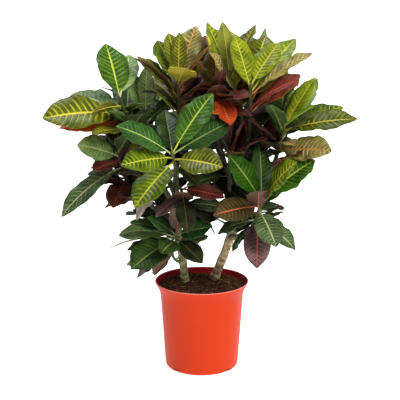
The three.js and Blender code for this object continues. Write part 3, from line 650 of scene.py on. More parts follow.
# Small leaves inside the crown along each shoot and its branch: how many, and their colours from the foot up
FILLERS: dict[str, tuple[int, tuple[Tint, ...]]] = {
    "front_left": (3, (Tint.DARK, Tint.GRASS)),
    "lower_right": (4, (Tint.DEEP, Tint.MAROON)),
    "upper_left": (4, (Tint.DARK, Tint.GRASS)),
    "top_left": (3, (Tint.DARK, Tint.MOSS)),
    "top": (5, (Tint.DARK, Tint.RUST, Tint.EMBER)),
    "top_mid": (3, (Tint.MAROON, Tint.RUST)),
    "right": (6, (Tint.MAROON, Tint.PALE, Tint.MAROON, Tint.GOLD)),
    "low_left": (5, (Tint.DEEP, Tint.PLUM)),
    "left_mid": (6, (Tint.DARK, Tint.PLUM, Tint.PALE, Tint.MAROON)),
    "front_low": (3, (Tint.DARK, Tint.MAROON)),
    "back_low_mid": (5, (Tint.DARK, Tint.DEEP)),
    "back_left": (4, (Tint.DARK, Tint.DEEP)),
    "back_top": (6, (Tint.DARK, Tint.ROSE, Tint.MAROON)),
    "back_right": (6, (Tint.MAROON, Tint.EMBER, Tint.DARK)),
    "back_low_left": (7, (Tint.DARK, Tint.PLUM, Tint.MOSS, Tint.MAROON)),
    "back_low_right": (8, (Tint.DEEP, Tint.DARK, Tint.MAROON, Tint.MOSS)),
}

# Small leaves that show between the large ones, by the shoot that they grow on
SMALL_LEAVES: dict[str, tuple[LeafRow, ...]] = {
    "upper_left": (
        leaf(0.2, (-306, -24, 551), 16, -30, 0.28, Tint.RUST),
        leaf(0.02, (-160, 100, 620), 20, 0, 0.5, Tint.DEEP),
    ),
    "top_left": (
        leaf(0.6, (-146, 6, 700), 22, 20, 0.34, Tint.BRONZE),
        leaf(0.02, (16, 95, 655), 20, 0, 0.48, Tint.MAROON),
        leaf(0.05, (-40, 95, 655), 20, 0, 0.48, Tint.DARK),
    ),
    "top": (
        leaf(0.95, (10, 40, 774), 10, 10, 0.55, Tint.LIME),
        leaf(0.9, (118, 60, 765), 14, -20, 0.4, Tint.OLIVE),
        leaf(0.1, (100, 100, 670), 20, 0, 0.5, Tint.EMBER),
        leaf(-0.15, (155, 90, 600), 20, 0, 0.5, Tint.MAROON),
        leaf(-0.4, (160, 85, 595), 20, 0, 0.44, Tint.DARK),
        leaf(-0.2, (68, 70, 572), 14, 0, 0.5, Tint.DARK),
        leaf(-0.05, (34, 105, 676), 20, 0, 0.44, Tint.EMBER),
    ),
    "top_mid": (
        leaf(0.05, (70, 110, 616), 20, 0, 0.52, Tint.MAROON),
        leaf(0.98, (60, -112, 574), 22, 0, 0.46, Tint.RUST),
    ),
    "right": (
        leaf(0.9, (246, 10, 656), 12, 30, 0.34, Tint.LIME),
        leaf(0.1, (162, 85, 555), 20, 0, 0.5, Tint.MAROON),
        leaf(0.5, (185, 85, 635), 20, 0, 0.42, Tint.DEEP),
    ),
    "left_mid": (
        leaf(0.9, (-200, 80, 600), 20, 0, 0.5, Tint.DARK),
        leaf(0.2, (-178, 70, 525), 20, 0, 0.48, Tint.MAROON),
        leaf(-0.1, (-212, 70, 515), 20, 0, 0.48, Tint.DARK),
        leaf(-0.4, (-245, -5, 460), 20, 0, 0.46, Tint.MAROON),
        leaf(-0.75, (-155, 25, 355), 16, -40, 0.5, Tint.DEEP),
        leaf(0.02, (-232, -12, 430), 14, -20, 0.5, Tint.MAROON),
        leaf(-0.1, (-148, 65, 442), 14, 0, 0.56, Tint.DARK),
    ),
    "left_inner": (
        leaf(-0.95, (-38, 60, 425), 14, 0, 0.5, Tint.DARK),
    ),
    "front_low": (
        leaf(-0.95, (70, -5, 365), 16, 30, 0.46, Tint.DEEP),
    ),
    "centre": (
        leaf(-0.5, (30, 70, 450), 20, 0, 0.5, Tint.DARK),
    ),
    "back_low_mid": (
        leaf(-0.7, (0, 40, 410), 16, 0, 0.5, Tint.DEEP),
    ),
    "lower_right": (
        leaf(-0.9, (135, 50, 345), 20, 0, 0.5, Tint.DEEP),
        leaf(0.1, (180, -56, 372), 16, 0, 0.4, Tint.DEEP),
    ),
    "low_left": (
        leaf(0.1, (-144, -34, 216), 22, -24, 0.42, Tint.DARK),
        leaf(0.02, (-106, -10, 213), 20, 18, 0.44, Tint.PLUM),
        leaf(0.3, (-168, -20, 240), 18, -36, 0.36, Tint.ASH),
    ),
}

SPIRALS: tuple[Spiral, ...] = (
    Spiral("back_left", (-118, 146, 560), 20, 156,
           (Tint.DARK, Tint.DEEP, Tint.PLAIN, Tint.VEINED, Tint.OLIVE, Tint.OLIVE)),
    Spiral("back_top", (4, 140, 618), 70, 160,
           (Tint.DEEP, Tint.EMBER, Tint.PLAIN, Tint.EMBER, Tint.MAROON, Tint.LIME, Tint.OLIVE)),
    Spiral("back_right", (164, 138, 566), 110, 156,
           (Tint.MAROON, Tint.DARK, Tint.EMBER, Tint.BRIGHT, Tint.RUST, Tint.FRESH)),
    Spiral("back_low_left", (-108, 118, 392), 60, 128,
           (Tint.DARK, Tint.MAROON, Tint.DEEP, Tint.PLAIN, Tint.DEEP)),
    Spiral("back_low_right", (108, 116, 436), 95, 146,
           (Tint.DARK, Tint.PLUM, Tint.DEEP, Tint.VEINED, Tint.DEEP)),
)


@dataclass(frozen=True)
class Bend:
    """A swing of a leaf's tip by angle in the direction way, with its length scaled."""

    cost: float
    angle: float = 0.0
    way: float = 0.0
    scale: float = 1.0


def leaf_bends() -> list[Bend]:
    """The small bends that keep a leaf clear of its neighbours, as the part's source tries them.

    Returns:
        The bends, mildest first.
    """
    found = [Bend(0.0)]
    for i, scale in enumerate(BEND_SCALES):
        shortening = SHORTENING_COST * i
        if i > 0:
            found.append(Bend(shortening, scale=scale))
        for j, angle in enumerate(BEND_ANGLES):
            for k in range(BEND_WAYS):
                way = 2 * math.pi * k / BEND_WAYS
                found.append(Bend(j + 1 + shortening + WAY_COST * k, math.radians(angle), way, scale))
    return sorted(found, key=lambda bend: bend.cost)


BENDS = leaf_bends()


class Route:
    """A smooth line in space, in millimetres, that is read by its share of the whole length.

    STEP is how far apart, as a share, two points are read for the line's direction, and ASIDE a direction
    that no line starts in.
    """

    STEP = 0.01
    ASIDE = (0.3, 1.0, 0.1)

    def __init__(self, points: list[Vector]) -> None:
        """Measures the line.

        Args:
            points: Points that lie close together along it.
        """
        self.points = np.array([tuple(p) for p in points])
        steps = np.linalg.norm(np.diff(self.points, axis=0), axis=1)
        self.lengths = np.concatenate(([0.0], np.cumsum(steps)))

    @classmethod
    def cubic(cls, points: tuple[Point, ...], samples: int = 60) -> "Route":
        """A cubic curve.

        Args:
            points: Its two ends, with the two points that shape it between them.
            samples: How many straight steps it is cut into.

        Returns:
            The route.
        """
        a, b, c, d = (Vector(p) for p in points)
        shares = [i / samples for i in range(samples + 1)]
        return cls([a * (1 - t) ** 3 + b * (3 * (1 - t) ** 2 * t) + c * (3 * (1 - t) * t * t) + d * t**3
                    for t in shares])

    @classmethod
    def through(cls, points: tuple[Point, ...], samples: int = 24) -> "Route":
        """The centripetal curve through a row of points.

        Args:
            points: The points in order.
            samples: How many straight steps lie between neighbours.

        Returns:
            The route.
        """
        spots = [Vector(p) for p in points]
        spots = [spots[0] * 2 - spots[1], *spots, spots[-1] * 2 - spots[-2]]
        made = [spots[1]]
        for a, b, c, d in zip(spots, spots[1:], spots[2:], spots[3:]):
            before, span, after = (math.sqrt((q - p).length) for p, q in ((a, b), (b, c), (c, d)))
            leaving = ((b - a) / before - (c - a) / (before + span) + (c - b) / span) * span
            arriving = ((c - b) / span - (d - b) / (span + after) + (d - c) / after) * span
            for i in range(1, samples + 1):
                t = i / samples
                made.append(b * (2 * t**3 - 3 * t * t + 1) + leaving * (t**3 - 2 * t * t + t)
                            + c * (3 * t * t - 2 * t**3) + arriving * (t**3 - t * t))
        return cls(made)

    @property
    def length(self) -> float:
        """The whole length in millimetres."""
        return float(self.lengths[-1])

    def at(self, shares: np.ndarray) -> np.ndarray:
        """The points at these shares of the length."""
        wanted = np.asarray(shares) * self.length
        return np.stack([np.interp(wanted, self.lengths, self.points[:, k]) for k in range(3)], axis=-1)

    def frames(self, shares: np.ndarray) -> tuple[np.ndarray, np.ndarray, np.ndarray]:
        """Points of the line with two directions across it, which turn as little as they can.

        Args:
            shares: Rising shares of the length.

        Returns:
            The points, and the two directions at each.
        """
        spots = self.at(shares)
        ahead = self.at(np.minimum(shares + self.STEP, 1)) - self.at(np.maximum(shares - self.STEP, 0))
        ahead /= np.linalg.norm(ahead, axis=1, keepdims=True)
        side = np.cross(ahead[0], self.ASIDE)
        sides = []
        for way in ahead:
            side = side - way * side.dot(way)
            side = side / np.linalg.norm(side)
            sides.append(side)
        across = np.array(sides)
        return spots, across, np.cross(ahead, across)


def smooth(made: bmesh.types.BMesh) -> None:
    """Shades every face of a bmesh smoothly."""
    for face in made.faces:
        face.smooth = True


def mesh_from(name: str, made: bmesh.types.BMesh) -> bpy.types.Mesh:
    """Turns a finished bmesh into a mesh and frees it.

    Args:
        name: The mesh's name.
        made: The bmesh.

    Returns:
        The mesh.
    """
    mesh = bpy.data.meshes.new(name)
    made.to_mesh(mesh)
    made.free()
    return mesh


def add_object(name: str, data: bpy.types.ID) -> bpy.types.Object:
    """Puts a mesh, a camera or a light into the scene.

    Args:
        name: The object's name.
        data: The mesh, camera or light.

    Returns:
        The object.
    """
    made = bpy.data.objects.new(name, data)
    bpy.context.scene.collection.objects.link(made)
    return made


def add_rod(made: bmesh.types.BMesh, sides: int, rows: int, foot: float) -> None:
    """Adds a straight closed rod of unit radius and length, upright on the axis.

    Args:
        made: The bmesh that it is added to.
        sides: Its faces round.
        rows: Its faces along.
        foot: The height of its lower end.
    """
    upright = Matrix.Translation((0, 0, foot + 0.5))
    rod = bmesh.ops.create_cone(made, cap_ends=True, segments=sides, radius1=1, radius2=1, depth=1,
                                matrix=upright)
    own = set(rod["verts"])
    lengthwise = [edge for edge in made.edges
                  if edge.verts[0] in own and abs(edge.verts[0].co.z - edge.verts[1].co.z) > 0.5]
    bmesh.ops.subdivide_edges(made, edges=lengthwise, cuts=rows - 1, use_grid_fill=False)


def put_in_order(made: bmesh.types.BMesh) -> None:
    """Orders the corners and faces by their places, so that every run numbers them alike.

    Args:
        made: The bmesh.
    """
    corners = [(vert.co, vert) for vert in made.verts]
    middles = [(face.calc_center_median(), face) for face in made.faces]
    for placed in (corners, middles):
        placed.sort(key=lambda pair: tuple(round(part, 6) for part in pair[0]))
        for number, (_, item) in enumerate(placed):
            item.index = number
    made.verts.sort()
    made.faces.sort()


def spun(outline: Outline, steps: int) -> bmesh.types.BMesh:
    """Spins an outline about the upright axis into a closed body.

    Args:
        outline: Radius and height along it, in millimetres, from the axis round and back to the axis.
        steps: The faces round the body.

    Returns:
        The bmesh, in metres.
    """
    made = bmesh.new()
    verts = [made.verts.new((r * MM, 0, z * MM)) for r, z in outline]
    edges = [made.edges.new(pair) for pair in zip(verts, verts[1:])]
    bmesh.ops.spin(made, geom=[*verts, *edges], cent=(0, 0, 0), axis=(0, 0, 1), angle=2 * math.pi,
                   steps=steps, use_merge=True)
    bmesh.ops.remove_doubles(made, verts=made.verts, dist=1e-6)
    bmesh.ops.recalc_face_normals(made, faces=made.faces[:])
    smooth(made)
    put_in_order(made)
    return made


def arc(centre: tuple[float, float], radius: float, start: float, end: float, steps: int) -> Outline:
    """Points on a round stretch of an outline, from one angle in degrees to another."""
    turns = (math.radians(lerp(start, end, i / steps)) for i in range(steps + 1))
    return [(centre[0] + radius * math.cos(turn), centre[1] + radius * math.sin(turn)) for turn in turns]


def piece(name: str, made: bmesh.types.BMesh, finishes: list[bpy.types.Material],
          nodes: tuple[str, ...] = ()) -> bpy.types.Object:
    """Turns a bmesh into a piece that rides on the body.

    Args:
        name: The piece's name.
        made: The finished bmesh, in metres, which is freed.
        finishes: Its materials, in the order of its faces' material indices.
        nodes: The solids that it stands for.

    Returns:
        The new object.
    """
    mesh = mesh_from(name, made)
    made_object = add_object(name, mesh)
    for finish in finishes:
        mesh.materials.append(finish)
    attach(made_object, BODY)
    if nodes:
        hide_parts(*nodes)
    triangles = sum(len(face.vertices) - 2 for face in mesh.polygons)
    LOG.info("%s: %d triangles, stands for %s", name, triangles, ", ".join(nodes) or "nothing")
    return made_object


class Mould:
    """A simple mesh that is bent into each of its copies.

    coords holds the mesh's own corner places, from which a copy's places are worked out.
    """

    def __init__(self, name: str, made: bmesh.types.BMesh) -> None:
        """Keeps the mould's mesh.

        Args:
            name: The mesh's name.
            made: The finished bmesh, which is freed.
        """
        self.mesh = mesh_from(name, made)
        self.coords = np.empty(len(self.mesh.vertices) * 3)
        self.mesh.vertices.foreach_get("co", self.coords)
        self.coords = self.coords.reshape(-1, 3)

    def pour(self, target: bmesh.types.BMesh, places: np.ndarray) -> None:
        """Adds a copy with its corners at these places, in millimetres, to a piece."""
        self.mesh.vertices.foreach_set("co", (places * MM).ravel())
        target.from_mesh(self.mesh)

    def paint(self, attribute: str, values: np.ndarray | float) -> None:
        """Writes one number at each corner, for the next copy."""
        layer = self._layer(attribute, "FLOAT")
        layer.data.foreach_set("value", np.broadcast_to(values, len(self.coords)).astype(np.float32))

    def tint(self, attribute: str, colour: Rgb) -> None:
        """Writes one colour at every corner, for the next copy."""
        layer = self._layer(attribute, "FLOAT_COLOR")
        layer.data.foreach_set("color", np.tile(np.float32(linear(colour)), len(self.coords)))

    def _layer(self, attribute: str, kind: str) -> bpy.types.Attribute:
        """The mesh's attribute of this name, made where it is new."""
        return self.mesh.attributes.get(attribute) or self.mesh.attributes.new(attribute, kind, "POINT")


class Rod(Mould):
    """A straight closed rod of unit radius and length, for stems, ribs and fibres."""

    def __init__(self, name: str, sides: int, rows: int) -> None:
        """Makes the rod.

        Args:
            name: The mesh's name.
            sides: Its faces round.
            rows: Its faces along.
        """
        made = bmesh.new()
        add_rod(made, sides, rows, 0)
        smooth(made)
        super().__init__(name, made)
        self.along = np.clip(self.coords[:, 2], 0, 1)
        self.turn = np.arctan2(self.coords[:, 1], self.coords[:, 0])

    def lay(self, target: bmesh.types.BMesh, route: Route, radius: np.ndarray) -> None:
        """Bends a copy along a route.

        Args:
            target: The piece that the copy is added to.
            route: The line that it follows.
            radius: The distance of each corner from the line, in millimetres.
        """
        levels, which = np.unique(np.round(self.along, 5), return_inverse=True)
        spots, across, upward = route.frames(levels)
        out = across[which] * np.cos(self.turn)[:, None] + upward[which] * np.sin(self.turn)[:, None]
        self.pour(target, spots[which] + out * radius[:, None])


class Shader:
    """Writes the node graph of one material. Scales are counted per metre on the object."""

    def __init__(self, name: str) -> None:
        """Starts a material with an empty Principled surface.

        Args:
            name: The material's name.
        """
        self.material = bpy.data.materials.new(name)
        self.material.use_nodes = True
        self.nodes = self.material.node_tree.nodes
        self.links = self.material.node_tree.links
        self.surface = self.nodes["Principled BSDF"]
        self.coords = self.add("TexCoord", "Object", {})

    def fill(self, socket: Socket, value: Value) -> None:
        """Links a socket into another, or sets the other's value.

        Args:
            socket: The input that is filled.
            value: The output that it is linked to, or its value.
        """
        if isinstance(value, bpy.types.NodeSocket):
            self.links.new(value, socket)
        else:
            socket.default_value = value

    def add(self, kind: str, output: str | int, inputs: dict[str | int, Value],
            **settings: str | bool) -> Socket:
        """Adds a node.

        Args:
            kind: Its type, without the words that all types start with.
            output: Which of its outputs is wanted.
            inputs: What its inputs are filled with.
            settings: Its other settings.

        Returns:
            The output.
        """
        node = self.nodes.new("ShaderNode" + kind)
        for name, setting in settings.items():
            setattr(node, name, setting)
        for name, value in inputs.items():
            self.fill(node.inputs[name], value)
        return node.outputs[output]

    def math(self, operation: str, first: Value, second: Value = 0.0, clamp: bool = False) -> Socket:
        """A Math node's result."""
        return self.add("Math", 0, {0: first, 1: second}, operation=operation, use_clamp=clamp)

    def times(self, first: Value, *others: Value, clamp: bool = False) -> Socket:
        """The product of two or more values.

        Args:
            first: The first value.
            others: The rest of them.
            clamp: Whether the product stays between 0 and 1.

        Returns:
            The product.
        """
        for other in others[:-1]:
            first = self.math("MULTIPLY", first, other)
        return self.math("MULTIPLY", first, others[-1], clamp)

    def mix(self, share: Value, first: Value, second: Value) -> Socket:
        """A colour between two others."""
        return self.add("Mix", 2, {0: share, 6: first, 7: second}, data_type="RGBA")

    def rise(self, value: Value, low: Value, high: Value, start: float = 0.0, end: float = 1.0) -> Socket:
        """A smooth change from start at low to end at high."""
        inputs = {"Value": value, "From Min": low, "From Max": high, "To Min": start, "To Max": end}
        return self.add("MapRange", 0, inputs, interpolation_type="SMOOTHSTEP")

    def noise(self, scale: float, detail: float = 3.0, rough: float = 0.5,
              vector: Socket | None = None) -> Socket:
        """Cloudy noise from 0 to 1."""
        inputs = {"Vector": vector or self.coords, "Scale": scale, "Detail": detail, "Roughness": rough}
        return self.add("TexNoise", "Fac", inputs)

    def pattern(self, pattern: Pattern) -> Socket:
        """A pattern's share at each place."""
        cloud = self.noise(pattern.scale, pattern.detail, pattern.rough)
        return self.rise(cloud, pattern.low, pattern.high, pattern.least, pattern.most)

    def cells(self, scale: float) -> Socket:
        """The distance to the nearest border in a field of cells."""
        inputs = {"Vector": self.coords, "Scale": scale}
        return self.add("TexVoronoi", "Distance", inputs, feature="DISTANCE_TO_EDGE")

    def stretched(self, scale: Point, shift: Point = (0.0, 0.0, 0.0)) -> Socket:
        """Object coordinates scaled apart along the axes and then shifted."""
        return self.add("Mapping", "Vector", {"Vector": self.coords, "Scale": scale, "Location": shift})

    def painted_crown_shade(self) -> Socket:
        """Painted shade: how much colour is left where leaves crowd out the light.

        Returns:
            A share that is 1 at the crown's outside and less inside it.
        """
        shift = tuple(-place / half for place, half in zip(CROWN_MIDDLE, CROWN_HALF))
        inside = self.stretched(tuple(1 / half for half in CROWN_HALF), shift)
        reach = self.add("VectorMath", "Value", {0: inside}, operation="LENGTH")
        return self.rise(reach, *CROWN_EDGES, CROWN_SHADE, 1.0)

    def height(self) -> Socket:
        """The height above the origin, in metres."""
        return self.add("SeparateXYZ", "Z", {0: self.coords})

    def attribute(self, name: str, output: str = "Fac") -> Socket:
        """A value or colour painted on the piece's corners."""
        return self.add("Attribute", output, {}, attribute_name=name)

    def bump(self, height: Socket, strength: float, distance: float, under: Socket | None = None) -> Socket:
        """A normal that follows a height.

        Args:
            height: The height at each place.
            strength: How much of it shows, 0 to 1.
            distance: How high 1 stands, in metres.
            under: The normal that it stands on, if any.

        Returns:
            The normal.
        """
        below = {} if under is None else {"Normal": under}
        inputs = {"Strength": strength, "Distance": distance, "Height": height, **below}
        return self.add("Bump", "Normal", inputs)

    def done(self, colour: Socket, roughness: Socket | float, normal: Socket | None = None,
             **constants: float) -> bpy.types.Material:
        """Joins the results to the surface.

        Args:
            colour: The base colour.
            roughness: How dull the surface is.
            normal: The bumped normal, if any.
            constants: Other surface settings, by socket name with _ for a space.

        Returns:
            The material.
        """
        self.fill(self.surface.inputs["Base Color"], colour)
        self.fill(self.surface.inputs["Roughness"], roughness)
        if normal is not None:
            self.fill(self.surface.inputs["Normal"], normal)
        for name, value in constants.items():
            self.surface.inputs[name.replace("_", " ")].default_value = value
        return self.material


@dataclass(frozen=True)
class LeafForm:
    """A leaf in space: where its stalk starts and where its tip is, in millimetres, with its row's bend."""

    number: int
    base: Vector
    tip: Vector
    arch: float
    roll: float
    ratio: float

    @classmethod
    def bent(cls, number: int, row: LeafRow, base: Vector, bend: Bend) -> "LeafForm":
        """The leaf of a row with its tip swung clear of its neighbours.

        Args:
            number: The leaf's number on the plant.
            row: Its row.
            base: Where its stalk leaves the shoot.
            bend: The swing of its tip.

        Returns:
            The leaf's form.
        """
        line = Vector(row.tip) - base
        reach = line.length * bend.scale
        line.normalize()
        up = (Vector((0, 0, 1)) - line * line.z).normalized()
        swing = up * math.sin(bend.way) + line.cross(up) * math.cos(bend.way)
        tip = base + (line * math.cos(bend.angle) + swing * math.sin(bend.angle)) * reach
        return cls(number, base, tip, row.arch, row.roll, row.ratio)

    @property
    def reach(self) -> float:
        """The length from the stalk's foot to the tip."""
        return (self.tip - self.base).length

    @property
    def half_width(self) -> float:
        """Half the blade's greatest width."""
        return 0.5 * self.ratio * self.reach

    def spine(self, t: np.ndarray) -> tuple[np.ndarray, np.ndarray, np.ndarray]:
        """The midrib's arc.

        Args:
            t: Shares of the way from the stalk's foot to the tip.

        Returns:
            The places, and the directions upward and sideways there.
        """
        line = (self.tip - self.base).normalized()
        up = (Vector((0, 0, 1)) - line * line.z).normalized()
        roll = math.radians(self.roll)
        face = up * math.cos(roll) + line.cross(up) * math.sin(roll)
        half = math.radians(self.arch) / 2
        chord = 2 * math.sin(half)
        phi = ((1 - 2 * t) * half)[:, None]
        line_row, face_row, side_row = (np.array(v) for v in (line, face, line.cross(face)))
        places = np.array(self.base) + line_row * self.reach * (0.5 - np.sin(phi) / chord)
        places = places + face_row * self.reach * (np.cos(phi) - math.cos(half)) / chord
        flat = face_row * np.cos(phi) - line_row * np.sin(phi)
        twist = (TWIST_SPAN * (draw(self.number, Purpose.TWIST) - 0.5) * (t - 0.5))[:, None]
        upward = flat * np.cos(twist) - side_row * np.sin(twist)
        return places, upward, side_row * np.cos(twist) + flat * np.sin(twist)

    def blade(self, c: np.ndarray, v: np.ndarray, quilt: np.ndarray, layer: np.ndarray) -> np.ndarray:
        """Places on the blade.

        Args:
            c: Shares of the way across, -1 and 1 at the margins.
            v: Shares of the way from the blade's foot to its tip.
            quilt: How far the surface stands up between its veins, 0 to 1.
            layer: 1 on the upper face and -1 on the lower.

        Returns:
            The places, one row each.
        """
        places, upward, side = self.spine(PETIOLE_SHARE + (1 - PETIOLE_SHARE) * v)
        edge = np.abs(c)
        swell = np.maximum(0, np.sin(np.pi * v**OUTLINE_SHIFT)) ** OUTLINE_POWER
        point = 1 - POINT_NARROWING * smooth_step(POINT_START, 1, v)
        width = np.maximum(TIP_HALF_WIDTH, self.half_width * swell * point)
        phase = np.where(c < 0, draw(self.number, Purpose.LEFT_WAVE), draw(self.number, Purpose.RIGHT_WAVE))
        wave = WAVE_SOFTNESS * WAVE_RATIO * np.sin(2 * np.pi * (WAVE_COUNT * v + phase)) * edge**1.5
        ruffle = RUFFLE_HEIGHT * np.sin(2 * np.pi * (RUFFLE_COUNT * v + 3 * phase)) * edge**3
        fold = np.sin(0.5 * np.pi * edge) * math.sin(FOLD) - MARGIN_ROLL * edge**5
        quilted = QUILT_HEIGHT * quilt * np.sin(np.pi * np.clip(edge, 0, 1) ** 0.8)
        thick, thin = BLADE_DEPTHS
        depth = (thick + thin) / 2 + (thick - thin) * (0.5 - edge) * (1 - v)
        height = width * fold + self.half_width * swell * (wave + ruffle + quilted) + 0.5 * layer * depth
        return places + side * (c * width * math.cos(FOLD))[:, None] + upward * height[:, None]

    def rib(self, t: np.ndarray, turn: np.ndarray) -> np.ndarray:
        """Places on the stalk and the midrib that it runs into.

        Args:
            t: Shares of the way along, 1 at the rib's end.
            turn: The angle round the rib.

        Returns:
            The places, one row each.
        """
        share = t * RIB_END
        places, upward, side = self.spine(share)
        into = smooth_step(PETIOLE_SHARE - 0.02, 2 * PETIOLE_SHARE, share)
        stalk = STALK_RADIUS + STALK_FLARE * smooth_step(0.05, 0, share)
        size = (self.reach / USUAL_REACH) ** 0.5
        vein = size * (VEIN_RADIUS - VEIN_TAPER * smooth_step(PETIOLE_SHARE, 1, share))
        radius = stalk * (1 - into) + vein * into
        return (places + side * (radius * np.cos(turn))[:, None]
                + upward * (radius * (np.sin(turn) - VEIN_SINK * into))[:, None])


class LeafMould(Mould):
    """The flat blade and straight rib that every leaf is bent from, with a blade-wide UV map.

    The blade lies across the axis and the rib stands at RIB_FOOT, well above it, so that their corners
    are told apart by their height.
    """

    def __init__(self, spacing: tuple[float, ...] = BLADE_COLUMNS, rows_per_vein: int = ROWS_PER_VEIN,
                 rib_rows: int = RIB_ROWS) -> None:
        """Makes the blade from a grid given a thickness, and its rib from a rod.

        Args:
            spacing: Shares of the way from the midrib to the margin at which the columns stand.
            rows_per_vein: Rows of faces from one side vein to the next.
            rib_rows: Rows of faces along the rib.
        """
        made = bmesh.new()
        self._blade(made, spacing, VEIN_PAIRS * rows_per_vein)
        add_rod(made, RIB_SIDES, rib_rows, RIB_FOOT)
        for face in made.faces:
            if face.calc_center_median().z > RIB_FOOT / 2:
                face.material_index = 2
        smooth(made)
        put_in_order(made)
        super().__init__("leaf_mould", made)
        self.on_rib = self.coords[:, 2] > RIB_FOOT / 2

    def _blade(self, made: bmesh.types.BMesh, spacing: tuple[float, ...], rows: int) -> None:
        """Adds the blade: -1 to 1 across, 0 to 1 along, and -1 or 1 up on its lower and upper face.

        Args:
            made: The bmesh that it is added to.
            spacing: Shares of the way from the midrib to the margin at which the columns stand.
            rows: Its rows of faces.
        """
        last = len(spacing) - 1
        bmesh.ops.create_grid(made, x_segments=2 * last, y_segments=rows, size=1)
        bmesh.ops.solidify(made, geom=made.faces[:], thickness=1)
        bmesh.ops.recalc_face_normals(made, faces=made.faces[:])
        upper = max(vert.co.z for vert in made.verts) - 0.5
        for face in made.faces:
            face.material_index = 0 if face.calc_center_median().z > upper and face.normal.z > 0.5 else 1
        uv = made.loops.layers.uv.new("blade_map")
        for vert in made.verts:
            across = math.copysign(spacing[round(abs(vert.co.x) * last)], vert.co.x)
            along = 0.5 + 0.5 * vert.co.y
            vert.co = Vector((across, along, 1 if vert.co.z > upper else -1))
            for loop in vert.link_loops:
                loop[uv].uv = (0.5 + 0.5 * across, along)

    def bend(self, target: bmesh.types.BMesh, form: LeafForm) -> None:
        """Bends a copy into a leaf.

        Args:
            target: The piece that the leaf is added to.
            form: The leaf's form.
        """
        places = np.empty_like(self.coords)
        c, row, layer = self.coords[~self.on_rib].T
        v = row + VEIN_SWEEP * np.abs(c) ** 1.3 * 4 * row * (1 - row)
        spacing = VEIN_PAIRS * row + np.where(c > 0, 0.5, 0.0)
        quilt = 0.5 - 0.5 * np.cos(2 * np.pi * spacing)
        places[~self.on_rib] = form.blade(c, v, quilt, layer)
        x, y, z = self.coords[self.on_rib].T
        places[self.on_rib] = form.rib(np.clip(z - RIB_FOOT, 0, 1), np.arctan2(y, x))
        self.pour(target, places)


